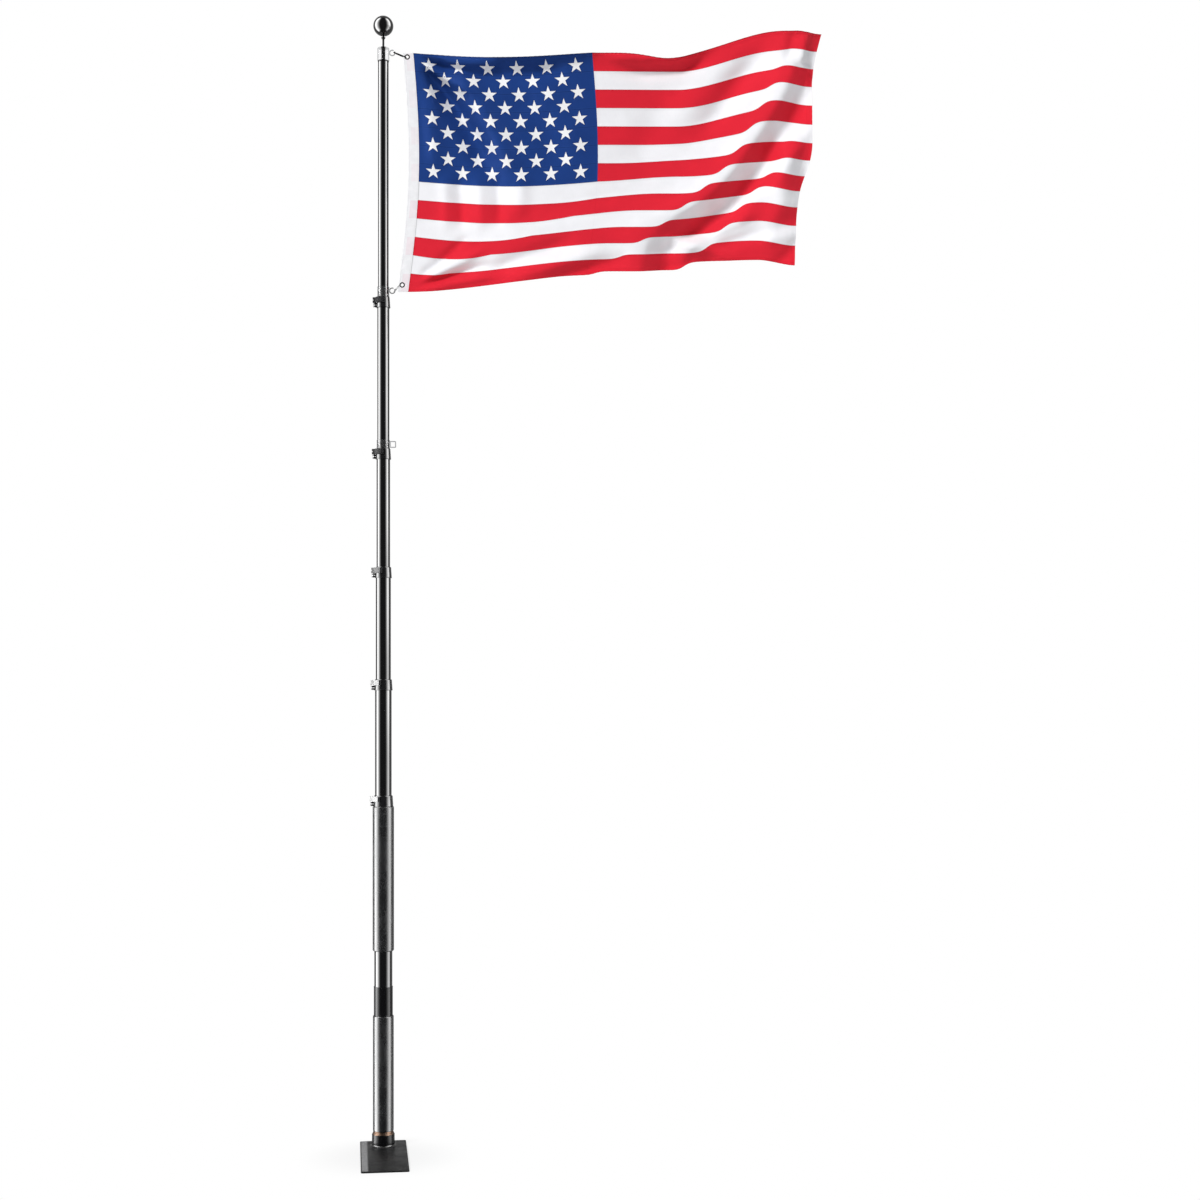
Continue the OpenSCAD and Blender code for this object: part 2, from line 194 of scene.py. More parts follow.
def rounded(corners, radius, steps=4):
    """Closed outline through corners of (r, z), each made into an arc. A third value is its own radius."""
    outline = []
    count = len(corners)
    for i, corner in enumerate(corners):
        here = Vector(corner[:2])
        to_last = Vector(corners[i - 1][:2]) - here
        to_next = Vector(corners[(i + 1) % count][:2]) - here
        wanted = corner[2] if len(corner) > 2 else radius
        cut = min(wanted, 0.45 * to_last.length, 0.45 * to_next.length)
        if cut < 1e-6 or here.x < 1e-6:
            outline.append(tuple(here))
            continue
        start = here + to_last.normalized() * cut
        end = here + to_next.normalized() * cut
        for k in range(steps + 1):
            t = k / steps
            point = start * (1 - t) ** 2 + here * 2 * t * (1 - t) + end * t**2
            outline.append(tuple(point))
    return outline


def new_piece(name, mesh, smooth_angle=38.0):
    """Object of that mesh in the scene, shaded smooth up to an angle."""
    mesh.shade_smooth()
    mesh.set_sharp_from_angle(angle=math.radians(smooth_angle))
    piece = bpy.data.objects.new(name, mesh)
    bpy.context.scene.collection.objects.link(piece)
    return piece


def piece_from_bmesh(name, bm, smooth_angle=38.0):
    """The same, from a bmesh, with its normals made consistent."""
    bmesh.ops.recalc_face_normals(bm, faces=bm.faces)
    mesh = bpy.data.meshes.new(name)
    bm.to_mesh(mesh)
    bm.free()
    return new_piece(name, mesh, smooth_angle)


def spin(bm, outline, sides, centre=(0.0, 0.0), turn=None):
    """Closed solid of revolution of a closed outline of (r, z) about the vertical through centre."""
    rings = []
    for r, z in outline:
        if r < 1e-7:
            rings.append([bm.verts.new((centre[0], centre[1], z))])
            continue
        ring = []
        for i in range(sides):
            a = 2 * math.pi * i / sides
            ring.append(bm.verts.new((centre[0] + r * math.cos(a), centre[1] + r * math.sin(a), z)))
        rings.append(ring)
    for ring, other in zip(rings, rings[1:] + rings[:1]):
        for i in range(sides):
            j = (i + 1) % sides
            if len(ring) > 1 and len(other) > 1:
                bm.faces.new((ring[i], ring[j], other[j], other[i]))
            elif len(ring) > 1:
                bm.faces.new((ring[i], ring[j], other[0]))
            elif len(other) > 1:
                bm.faces.new((ring[0], other[j], other[i]))
    if turn is not None:
        made = [v for ring in rings for v in ring]
        bmesh.ops.transform(bm, matrix=turn, verts=made)
    return rings


def turned(name, outline, sides, smooth_angle=38.0):
    """Piece turned about the pole's axis."""
    bm = bmesh.new()
    spin(bm, outline, sides)
    return piece_from_bmesh(name, bm, smooth_angle)


def extruded(bm, outline, low, high):
    """Closed prism over a plan outline of (x, y)."""
    foot = [bm.verts.new((x, y, low)) for x, y in outline]
    top = [bm.verts.new((x, y, high)) for x, y in outline]
    bm.faces.new(list(reversed(foot)))
    bm.faces.new(top)
    for i in range(len(outline)):
        j = (i + 1) % len(outline)
        bm.faces.new((foot[i], foot[j], top[j], top[i]))


def arc(centre, radius, start, end, steps):
    """Points along an arc, angles in degrees."""
    points = []
    for k in range(steps + 1):
        a = math.radians(start + (end - start) * k / steps)
        points.append((centre[0] + radius * math.cos(a), centre[1] + radius * math.sin(a)))
    return points


def solid(name, make):
    """Helper object of one closed solid, for a boolean."""
    bm = bmesh.new()
    make(bm)
    return piece_from_bmesh(name, bm)


def combined(name, body, added=(), cut=(), bevel=0.0, segments=3):
    """body with the added solids joined to it, the cut ones taken away, and its edges rounded."""
    for operation, tools in (("UNION", added), ("DIFFERENCE", cut)):
        for tool in tools:
            modifier = body.modifiers.new(operation.lower(), "BOOLEAN")
            modifier.operation = operation
            modifier.object = tool
            modifier.solver = "EXACT"
    if bevel:
        modifier = body.modifiers.new("bevel", "BEVEL")
        modifier.width = bevel
        modifier.segments = segments
        modifier.limit_method = "ANGLE"
        modifier.angle_limit = math.radians(35)
        modifier.use_clamp_overlap = True
        modifier.miter_outer = "MITER_ARC"
    graph = bpy.context.evaluated_depsgraph_get()
    mesh = bpy.data.meshes.new_from_object(body.evaluated_get(graph))
    for helper in [body, *added, *cut]:
        bpy.data.objects.remove(helper)
    mesh.name = name
    return new_piece(name, mesh)


def swept(bm, path, radius, sides=16, closed=False):
    """Round bar along a list of points, with domed ends where it isn't closed."""
    points = [Vector(p) for p in path]
    count = len(points)
    tangents = []
    for i in range(count):
        if closed:
            tangents.append((points[(i + 1) % count] - points[i - 1]).normalized())
        else:
            tangents.append((points[min(i + 1, count - 1)] - points[max(i - 1, 0)]).normalized())
    across = tangents[0].orthogonal().normalized()
    rings = []
    stations = [(p, t, radius) for p, t in zip(points, tangents)]
    if not closed:
        dome = [(math.cos(a), math.sin(a)) for a in (math.radians(d) for d in (75, 50, 25))]
        head = [(points[0] - tangents[0] * radius * s, tangents[0], radius * c) for c, s in dome]
        tail = [(points[-1] + tangents[-1] * radius * s, tangents[-1], radius * c) for c,
                s in reversed(dome)]
        stations = head + stations + tail
    for point, tangent, r in stations:
        across = (across - tangent * across.dot(tangent)).normalized()
        other = tangent.cross(across)
        ring = []
        for k in range(sides):
            a = 2 * math.pi * k / sides
            ring.append(bm.verts.new(point + across * r * math.cos(a) + other * r * math.sin(a)))
        rings.append(ring)
    pairs = list(zip(rings, rings[1:]))
    if closed:
        pairs.append((rings[-1], rings[0]))
    for ring, following in pairs:
        for k in range(sides):
            j = (k + 1) % sides
            bm.faces.new((ring[k], ring[j], following[j], following[k]))
    if not closed:
        bm.faces.new(list(reversed(rings[0])))
        bm.faces.new(rings[-1])


def mark_edges(piece):
    """Gives each vertex an "edge" value: how sharply the surface turns outward there, from 0 to 1."""
    bm = bmesh.new()
    bm.from_mesh(piece.data)
    values = []
    for vertex in bm.verts:
        turns = [e.calc_face_angle_signed(0.0) for e in vertex.link_edges if len(e.link_faces) == 2]
        values.append(min(1.0, max([0.0, *turns]) / math.radians(30)))
    bm.free()
    attribute = piece.data.attributes.new("edge", "FLOAT", "POINT")
    attribute.data.foreach_set("value", values)


def settle(piece, node, slot_name, *materials, stands_for=None):
    """Rides a finished piece on its CAD node's body, in that node's place, with its finish. Its slot name is
    not used.
    """
    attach(piece, BODY_OF[node])
    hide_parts(*(stands_for or [node]))
    for material in materials:
        piece.data.materials.append(material)
    return piece


# ---------------------------------------------------------------- shader nodes


def put(tree, kind, settings=None, **inputs):
    """Node of that kind. An input is a value, or a socket to link, by its name with _ for each space."""
    made = tree.nodes.new(kind)
    for key, value in (settings or {}).items():
        setattr(made, key, value)
    for key, value in inputs.items():
        socket = made.inputs[key.replace("_", " ")]
        if isinstance(value, bpy.types.NodeSocket):
            tree.links.new(value, socket)
        else:
            socket.default_value = value
    return made


def sums(tree, operation, *values, clamp=False):
    """Result of a Math node."""
    made = tree.nodes.new("ShaderNodeMath")
    made.operation = operation
    made.use_clamp = clamp
    for socket, value in zip(made.inputs, values):
        if isinstance(value, bpy.types.NodeSocket):
            tree.links.new(value, socket)
        else:
            socket.default_value = value
    return made.outputs[0]


def ramp(tree, value, low, high, to_low=0.0, to_high=1.0):
    """value mapped smoothly from low..high to to_low..to_high."""
    made = put(
        tree, "ShaderNodeMapRange", {"interpolation_type": "SMOOTHSTEP"},
        Value=value, From_Min=low, From_Max=high, To_Min=to_low, To_Max=to_high,
    )
    return made.outputs["Result"]


def mixed(tree, share, first, second):
    """Colour between first and second."""
    made = tree.nodes.new("ShaderNodeMix")
    made.data_type = "RGBA"
    for index, value in ((0, share), (6, first), (7, second)):
        if isinstance(value, bpy.types.NodeSocket):
            tree.links.new(value, made.inputs[index])
        elif index == 0:
            made.inputs[0].default_value = value
        else:
            made.inputs[index].default_value = (*value[:3], 1.0)
    return made.outputs[2]


def noise(tree, vector, scale, detail=3.0, roughness=0.5):
    """Noise from 0 to 1."""
    made = put(tree, "ShaderNodeTexNoise", None, Vector=vector, Scale=scale, Detail=detail,
               Roughness=roughness)
    return made.outputs[0]


def stretched(tree, vector, scale):
    """vector scaled apart along its axes."""
    return put(tree, "ShaderNodeMapping", None, Vector=vector, Scale=scale).outputs[0]


def group(name, inputs, outputs, build):
    """Node group with float or vector inputs of (name, default), built once."""
    if name in bpy.data.node_groups:
        return bpy.data.node_groups[name]
    tree = bpy.data.node_groups.new(name, "ShaderNodeTree")
    for label, default in inputs:
        kind = "NodeSocketVector" if default is None else "NodeSocketFloat"
        socket = tree.interface.new_socket(name=label, in_out="INPUT", socket_type=kind)
        if default is not None:
            socket.default_value = default
    for label in outputs:
        tree.interface.new_socket(name=label, in_out="OUTPUT", socket_type="NodeSocketFloat")
    entry = tree.nodes.new("NodeGroupInput")
    leave = tree.nodes.new("NodeGroupOutput")
    results = build(tree, {label: entry.outputs[label] for label, _ in inputs})
    for label, result in results.items():
        tree.links.new(result, leave.inputs[label])
    return tree


def grain_group():
    """Fine grain of a coat or a moulded plastic, with broad smudges."""

    def build(tree, given):
        fine = noise(tree, given["Vector"], given["Scale"], 2.0)
        broad = noise(tree, given["Vector"], 14.0, 4.0, 0.6)
        return {"Height": fine, "Smudge": ramp(tree, broad, 0.35, 0.7)}

    return group("Grain", [("Vector", None), ("Scale", 900.0)], ["Height", "Smudge"], build)


def drawn_group():
    """Long faint lines left along a drawn tube."""

    def build(tree, given):
        lines = noise(tree, stretched(tree, given["Vector"], (700.0, 700.0, 3.0)), 1.0, 2.0)
        return {"Height": lines}

    return group("Drawn lines", [("Vector", None)], ["Height"], build)


def wear_group():
    """Where a coat is rubbed back: along edges, broken up by noise."""

    def build(tree, given):
        patchy = noise(tree, given["Vector"], given["Scale"], 5.0, 0.65)
        level = sums(tree, "ADD", given["Edge"], sums(tree, "MULTIPLY", patchy, 1.1))
        start = sums(tree, "SUBTRACT", 1.75, given["Amount"])
        end = sums(tree, "ADD", start, 0.25)
        return {"Mask": ramp(tree, level, start, end)}

    inputs = [("Vector", None), ("Edge", 0.0), ("Amount", 0.3), ("Scale", 120.0)]
    return group("Edge wear", inputs, ["Mask"], build)


def scuff_group():
    """Short fine scratches in mixed directions."""

    def build(tree, given):
        masks = []
        for scale in ((900.0, 26.0, 26.0), (26.0, 900.0, 26.0), (240.0, 300.0, 18.0)):
            lines = noise(tree, stretched(tree, given["Vector"], scale), 1.0, 2.0)
            masks.append(ramp(tree, lines, 0.66, 0.74))
        patchy = ramp(tree, noise(tree, given["Vector"], 22.0, 3.0), 0.5, 0.68)
        both = sums(tree, "MAXIMUM", sums(tree, "MAXIMUM", masks[0], masks[1]), masks[2])
        return {"Mask": sums(tree, "MULTIPLY", sums(tree, "MULTIPLY", both, patchy), given["Amount"])}

    return group("Scuffs", [("Vector", None), ("Amount", 0.5)], ["Mask"], build)


def dust_group():
    """Pale dust on faces that look up."""

    def build(tree, given):
        normal = tree.nodes.new("ShaderNodeNewGeometry").outputs["Normal"]
        up = put(tree, "ShaderNodeSeparateXYZ", None, Vector=normal).outputs["Z"]
        patchy = noise(tree, given["Vector"], 60.0, 5.0, 0.7)
        mask = sums(tree, "MULTIPLY", ramp(tree, up, 0.3, 1.0), ramp(tree, patchy, 0.35, 0.8))
        return {"Mask": sums(tree, "MULTIPLY", mask, given["Amount"])}

    return group("Dust", [("Vector", None), ("Amount", 0.2)], ["Mask"], build)


def weave_group():
    """Plain weave in flat cloth coordinates: over-and-under threads."""

    def build(tree, given):
        parts = put(tree, "ShaderNodeSeparateXYZ", None, Vector=given["Vector"])
        turn = sums(tree, "MULTIPLY", given["Threads"], math.pi)
        warp = sums(tree, "SINE", sums(tree, "MULTIPLY", parts.outputs["X"], turn))
        weft = sums(tree, "SINE", sums(tree, "MULTIPLY", parts.outputs["Y"], turn))
        over = sums(tree, "GREATER_THAN", sums(tree, "MULTIPLY", warp, weft), 0.0)
        height = put(
            tree, "ShaderNodeMix", None, Factor=over, A=sums(tree, "ABSOLUTE", warp),
            B=sums(tree, "ABSOLUTE", weft)
        )
        uneven = noise(tree, stretched(tree, given["Vector"], (900.0, 40.0, 1.0)), 1.0, 2.0)
        return {"Height": height.outputs[0], "Slub": uneven}

    return group("Weave", [("Vector", None), ("Threads", 2000.0)], ["Height", "Slub"], build)


def stitch_group():
    """Row of stitches: thread where Across is within Width of the row and Along is inside a stitch."""

    def build(tree, given):
        near = sums(tree, "ABSOLUTE", given["Across"])
        inside = ramp(tree, near, sums(tree, "MULTIPLY", given["Width"], 0.6), given["Width"], 1.0, 0.0)
        beat = sums(tree, "FRACT", sums(tree, "DIVIDE", given["Along"], given["Pitch"]))
        middle = sums(tree, "ABSOLUTE", sums(tree, "SUBTRACT", beat, 0.5))
        return {"Mask": sums(tree, "MULTIPLY", inside, ramp(tree, middle, 0.32, 0.42, 1.0, 0.0))}

    inputs = [("Along", 0.0), ("Across", 0.0), ("Pitch", 0.004), ("Width", 0.0007)]
    return group("Stitches", inputs, ["Mask"], build)


def use(tree, made, **inputs):
    """A node group placed in a material."""
    return put(tree, "ShaderNodeGroup", {"node_tree": made}, **inputs)


def start_material(name):
    """New material with its tree, its Principled shader and the row-frame coordinates."""
    material = bpy.data.materials.new(name)
    material.use_nodes = True
    tree = material.node_tree
    shader = tree.nodes["Principled BSDF"]
    place = tree.nodes.new("ShaderNodeTexCoord").outputs["Object"]
    return material, tree, shader, place


def bumped(tree, shader, height, strength, distance):
    """Feeds height to the shader's normal through a Bump node."""
    bump = put(tree, "ShaderNodeBump", None, Height=height, Strength=strength, Distance=distance)
    tree.links.new(bump.outputs["Normal"], shader.inputs["Normal"])


def coat_material(name, colour, roughness, grain, bump, wear, bare=(0.22, 0.22, 0.23), scuffs=0.3, dust=0.12,
                  drawn=0.0, specular=1.0):
    """Painted, powder-coated or moulded surface: grain, smudges, scuffs, dust, and wear along its edges."""
    material, tree, shader, place = start_material(name)
    grained = use(tree, grain_group(), Vector=place, Scale=grain)
    edge = put(tree, "ShaderNodeAttribute", {"attribute_name": "edge"}).outputs["Fac"]
    worn = use(tree, wear_group(), Vector=place, Edge=edge, Amount=wear).outputs["Mask"]
    scuffed = use(tree, scuff_group(), Vector=place, Amount=scuffs).outputs["Mask"]
    dusty = use(tree, dust_group(), Vector=place, Amount=dust).outputs["Mask"]
    smudge = grained.outputs["Smudge"]
    shade = mixed(tree, sums(tree, "MULTIPLY", smudge, 0.35), colour, tuple(c * 1.5 for c in colour))
    shade = mixed(tree, sums(tree, "MULTIPLY", scuffed, 0.5), shade,
                  tuple(min(1, c * 3 + 0.03) for c in colour))
    shade = mixed(tree, worn, shade, bare)
    shade = mixed(tree, dusty, shade, (0.42, 0.40, 0.37))
    tree.links.new(shade, shader.inputs["Base Color"])
    rough = sums(tree, "ADD", sums(tree, "MULTIPLY", smudge, roughness * 0.45), roughness * 0.85)
    rough = sums(tree, "ADD", rough, sums(tree, "MULTIPLY", scuffed, 0.25))
    rough = sums(tree, "ADD", rough, sums(tree, "MULTIPLY", dusty, 0.5), clamp=True)
    tree.links.new(rough, shader.inputs["Roughness"])
    height = sums(tree, "SUBTRACT", grained.outputs["Height"], sums(tree, "MULTIPLY", scuffed, 0.6))
    if drawn:
        lines = use(tree, drawn_group(), Vector=place).outputs["Height"]
        height = sums(tree, "ADD", height, sums(tree, "MULTIPLY", lines, drawn))
    bumped(tree, shader, height, bump, 0.0003)
    shader.inputs["Specular IOR Level"].default_value = specular
    return material


def metal_material(name, colour, roughness, tarnish, turning=0.0):
    """Bare metal with tarnish, fine scratches and, if asked, lines from the lathe."""
    material, tree, shader, place = start_material(name)
    dull = ramp(tree, noise(tree, place, 90.0, 6.0, 0.65), 0.4, 0.75)
    scuffed = use(tree, scuff_group(), Vector=place, Amount=0.6).outputs["Mask"]
    shade = mixed(tree, sums(tree, "MULTIPLY", dull, tarnish), colour, tuple(c * 0.45 for c in colour))
    tree.links.new(shade, shader.inputs["Base Color"])
    rough = sums(tree, "ADD", sums(tree, "MULTIPLY", dull, 0.2), roughness)
    rough = sums(tree, "ADD", rough, sums(tree, "MULTIPLY", scuffed, 0.1), clamp=True)
    tree.links.new(rough, shader.inputs["Roughness"])
    shader.inputs["Metallic"].default_value = 1.0
    height = noise(tree, place, 1400.0, 2.0)
    if turning:
        lines = noise(tree, stretched(tree, place, (2.0, 2.0, 1500.0)), 1.0, 2.0)
        height = sums(tree, "ADD", height, sums(tree, "MULTIPLY", lines, turning))
    bumped(tree, shader, height, 0.25, 0.0002)
    return material


def clear_material(name, face, side, first, last):
    """Clear plastic with faint flow lines from its mould: one shade face on, and a darker one seen along its
    wall, painted shade standing in for what the wall refracts.
    """
    material, tree, shader, place = start_material(name)
    flow = noise(tree, stretched(tree, place, (60.0, 60.0, 160.0)), 1.0, 4.0, 0.6)
    shade = mixed(tree, ramp(tree, flow, 0.3, 0.75), face, tuple(0.94 * c for c in face))
    # painted shade: the colour darkens where the wall is seen edge-on
    facing = put(tree, "ShaderNodeLayerWeight", None, Blend=0.35).outputs["Facing"]
    tree.links.new(mixed(tree, ramp(tree, facing, first, last), shade, side), shader.inputs["Base Color"])
    tree.links.new(ramp(tree, flow, 0.3, 0.8, 0.0, 0.03), shader.inputs["Roughness"])
    shader.inputs["Transmission Weight"].default_value = 1.0
    shader.inputs["Specular IOR Level"].default_value = 0.2
    shader.inputs["IOR"].default_value = 1.03
    bumped(tree, shader, flow, 0.02, 0.0003)
    return material


def film_material(name, shade, least):
    """Thin clear plastic, least opaque face on and greyer along its wall and on its rims."""
    material, tree, shader, place = start_material(name)
    flow = noise(tree, stretched(tree, place, (60.0, 60.0, 160.0)), 1.0, 4.0, 0.6)
    shade = mixed(tree, ramp(tree, flow, 0.3, 0.75), shade, tuple(1.25 * c for c in shade))
    facing = put(tree, "ShaderNodeLayerWeight", None, Blend=0.35).outputs["Facing"]
    normal = put(tree, "ShaderNodeNewGeometry").outputs["Normal"]
    upright = put(tree, "ShaderNodeSeparateXYZ", None, Vector=normal).outputs["Z"]
    rim = ramp(tree, sums(tree, "ABSOLUTE", upright), 0.4, 0.9, 0.0, 0.45)
    wall = ramp(tree, facing, 0.18, 0.72, least, 0.72)
    tree.links.new(shade, shader.inputs["Base Color"])
    tree.links.new(sums(tree, "MAXIMUM", wall, rim), shader.inputs["Alpha"])
    tree.links.new(ramp(tree, flow, 0.3, 0.8, 0.08, 0.18), shader.inputs["Roughness"])
    bumped(tree, shader, flow, 0.05, 0.0003)
    return material


# ---------------------------------------------------------------- the pole's pieces


class FLAGPOLE_OT_base(bpy.types.Operator):
    """Base plate, socket, weld bead and the centring ring in the socket's mouth"""

    bl_idname = "flagpole.base"
    bl_label = "Base and Socket"

    def execute(self, context):
        finishes = context.scene.flagpole_finishes
        self.plate(finishes)
        self.socket(finishes)
        self.weld(finishes)
        self.ring(finishes)
        return {"FINISHED"}

    def plate(self, finishes):
        """Flat plate with round corners, broken edges and a slight roll-over along its cut sides."""
        low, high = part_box("base_plate")
        corner = 7 * MM
        outline = []
        for x, y, start in (
            (high.x - corner, high.y - corner, 0), (low.x + corner, high.y - corner, 90),
            (low.x + corner, low.y + corner, 180), (high.x - corner, low.y + corner, 270),
        ):
            outline += arc((x, y), corner, start, start + 90, 8)
        body = solid("plate_blank", lambda bm: extruded(bm, outline, low.z, high.z))
        piece = combined("drive_on_plate", body, bevel=0.9 * MM, segments=4)
        mark_edges(piece)
        coat = coat_material(
            "Plate powder coat", tuple(finishes.plate), 0.34, 1100.0, 0.25, finishes.wear, scuffs=0.4,
            dust=0.03,
            specular=0.12,
        )
        # painted reflection of the left softbox on the plate's top
        self.painted_reflection_side(coat, low.x + 24 * MM)
        settle(piece, "base_plate", "plate_coat", coat)

    def painted_reflection_side(self, material, limit):
        """Painted reflection: a band along the left side of the plate's top is painted paler, standing in for
        the left softbox's reflection.
        """
        tree = material.node_tree
        shader = tree.nodes["Principled BSDF"]
        coat = shader.inputs["Base Color"].links[0].from_socket
        place = tree.nodes.new("ShaderNodeTexCoord").outputs["Object"]
        axes = put(tree, "ShaderNodeSeparateXYZ", None, Vector=place).outputs
        low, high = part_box("base_plate")
        patchy = ramp(tree, noise(tree, place, 70.0, 5.0, 0.6), 0.2, 0.8, 0.75, 1.0)
        inner = ramp(tree, axes["X"], limit - 2 * MM, limit + 6 * MM, 1.0, 0.0)
        outer = ramp(tree, axes["X"], low.x + 2 * MM, low.x + 6 * MM)
        front = ramp(tree, axes["Y"], low.y + 4 * MM, low.y + 16 * MM)
        top = ramp(tree, axes["Z"], high.z - 0.6 * MM, high.z - 0.1 * MM)
        mask = sums(tree, "MULTIPLY", sums(tree, "MULTIPLY", inner, outer),
                    sums(tree, "MULTIPLY", top, front))
        mask = sums(tree, "MULTIPLY", mask, patchy)
        # painted reflection: the band's pale colour is mixed into the coat's base colour
        tree.links.new(mixed(tree, mask, coat, (0.30, 0.30, 0.305)), shader.inputs["Base Color"])

    def socket(self, finishes):
        """Short tube with a flared foot and a rolled lip."""
        low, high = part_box("socket_tube")
        inner = node_radius("tube_1") + 0.02 * MM
        foot = node_radius("socket_tube")
        mouth = foot - 0.5 * MM
        flare = low.z + 0.6 * (high.z - low.z)
        corners = [
            (inner, low.z, 0), (foot, low.z, 0), (mouth, flare, 12 * MM), (mouth, high.z, 1.6 * MM),
            (inner, high.z, 0.4 * MM),
        ]
        piece = turned("pole_socket", rounded(corners, 1 * MM, 8), finishes.sides)
        mark_edges(piece)
        coat = coat_material(
            "Socket gloss coat", tuple(finishes.coat), 0.20, 700.0, 0.10, finishes.wear * 0.8, dust=0.1,
            specular=0.22,
        )
        settle(piece, "socket_tube", "socket_coat", coat)

    def weld(self, finishes):
        """Fillet bead laid in overlapping ripples."""
        low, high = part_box("socket_weld")
        outer = node_radius("socket_weld")
        foot = node_radius("socket_tube")
        leg = high.z - low.z
        ripples = 64
        sides = ripples * 6
        across = 9
        bm = bmesh.new()
        rings = []
        for i in range(sides):
            a = 2 * math.pi * i / sides
            beat = (i % 6) / 6
            ring = []
            for k in range(across):
                t = k / (across - 1)
                swell = math.sin(math.pi * t)
                # each ripple's crest runs a little ahead in the middle of the bead
                crest = (beat + 0.25 * swell) % 1.0
                lift = 0.32 * MM * swell * (0.4 + 0.6 * math.sin(math.pi * crest))
                r = outer + (foot - 0.3 * MM - outer) * t - leg * 0.18 * swell + lift
                z = low.z + leg * t - leg * 0.18 * swell + lift
                ring.append(bm.verts.new((r * math.cos(a), r * math.sin(a), z)))
            inside = foot - 0.3 * MM
            ring.append(bm.verts.new((inside * math.cos(a), inside * math.sin(a), low.z)))
            rings.append(ring)
        for i, ring in enumerate(rings):
            other = rings[(i + 1) % sides]
            for k in range(across + 1):
                j = (k + 1) % (across + 1)
                bm.faces.new((ring[k], ring[j], other[j], other[k]))
        piece = piece_from_bmesh("socket_weld_bead", bm, 60.0)
        mark_edges(piece)
        coat = coat_material("Weld coat", tuple(finishes.coat), 0.14, 500.0, 0.15, 0.15, specular=0.8)
        settle(piece, "socket_weld", "weld_coat", coat)

    def ring(self, finishes):
        """Tapered ring, turned bright, with two fine grooves."""
        low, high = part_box("socket_ring")
        inner = node_radius("tube_1") + 0.02 * MM
        foot = node_radius("socket_ring")
        top = node_radius("lower_sleeve") - 2.5 * MM
        corners = [(inner, low.z, 0), (foot, low.z, 0.5 * MM)]
        for share in (0.32, 0.62):
            z = low.z + share * (high.z - low.z)
            r = foot + (top - foot) * share
            corners += [
                (r, z - 0.9 * MM, 0.3 * MM), (r - 0.7 * MM, z - 0.3 * MM, 0.3 * MM),
                (r - 0.7 * MM, z + 0.3 * MM, 0.3 * MM), (r - 0.1 * MM, z + 0.9 * MM, 0.3 * MM),
            ]
        corners += [(top, high.z, 0.8 * MM), (inner, high.z, 0)]
        piece = turned("centring_ring", rounded(corners, 0.4 * MM, 3), finishes.sides)
        settle(piece, "socket_ring", "copper",
               metal_material("Ring metal", tuple(finishes.copper), 0.30, 0.5, 0.35))


class FLAGPOLE_OT_grips(bpy.types.Operator):
    """The two satin sleeves and the rubber band between them"""

    bl_idname = "flagpole.grips"
    bl_label = "Sleeves and Band"

    def execute(self, context):
        finishes = context.scene.flagpole_finishes
        satin = coat_material(
            "Sleeve satin", tuple(finishes.sleeve), 0.26, 1300.0, 0.04, 0.12, bare=(0.16, 0.16, 0.17),
            scuffs=0.12, dust=0.03, drawn=0.15, specular=1.0,
        )
        for name, foot, top in (("lower_sleeve", 2.0, 2.0), ("upper_sleeve", 3.5, 2.5)):
            piece = self.sleeve(name, foot * MM, top * MM, finishes.sides)
            settle(piece, name, "sleeve", satin)
        rubber = coat_material(
            "Band rubber", (0.004, 0.004, 0.0045), 0.17, 2200.0, 0.10, 0.0, scuffs=0.15, dust=0.04,
            specular=0.27
        )
        settle(self.band(finishes.sides), "grip_band", "band", rubber)
        return {"FINISHED"}

    def sleeve(self, node, foot, top, sides):
        """Sleeve with chamfered ends."""
        low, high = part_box(node)
        inner = node_radius("tube_1") + 0.02 * MM
        outer = node_radius(node)
        corners = [
            (inner, low.z, 0.3 * MM), (outer - foot, low.z, 0.6 * MM), (outer, low.z + foot, 0.8 * MM),
            (outer, high.z - top, 0.8 * MM), (outer - top, high.z, 0.6 * MM), (inner, high.z, 0.3 * MM),
        ]
        piece = turned(f"{node}_cover", rounded(corners, 0.5 * MM), sides)
        mark_edges(piece)
        return piece

    def band(self, sides):
        """Rubber band with a low bead near each end."""
        low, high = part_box("grip_band")
        inner = node_radius("tube_1") + 0.02 * MM
        outer = node_radius("grip_band")
        bead, step = 3.2 * MM, 0.35 * MM
        corners = [
            (inner, low.z, 0.2 * MM), (outer, low.z, 0.5 * MM), (outer, low.z + bead, 0.2 * MM),
            (outer - step, low.z + bead + step, 0.2 * MM), (outer - step, high.z - bead - step, 0.2 * MM),
            (outer, high.z - bead, 0.2 * MM), (outer, high.z, 0.5 * MM), (inner, high.z, 0.2 * MM),
        ]
        piece = turned("rubber_band", rounded(corners, 0.3 * MM), sides)
        mark_edges(piece)
        return piece


class FLAGPOLE_OT_tubes(bpy.types.Operator):
    """The six telescoping tubes"""

    bl_idname = "flagpole.tubes"
    bl_label = "Tubes"

    def execute(self, context):
        finishes = context.scene.flagpole_finishes
        gloss = coat_material(
            "Tube gloss coat", tuple(finishes.coat), 0.07, 420.0, 0.02, finishes.wear * 0.5, scuffs=0.12,
            dust=0.05, drawn=0.3,
        )
        for k in range(1, TUBES + 1):
            node = f"tube_{k}"
            low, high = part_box(node)
            outer = node_radius(node)
            inner = min(Vector(v.co.xy).length for v in frame["nodes"][node].data.vertices)
            corners = [(inner, low.z), (outer, low.z), (outer, high.z), (inner, high.z)]
            piece = turned(f"{node}_shell", rounded(corners, 0.6 * MM, 3), finishes.sides)
            mark_edges(piece)
            settle(piece, node, "tube_coat", gloss)
        return {"FINISHED"}


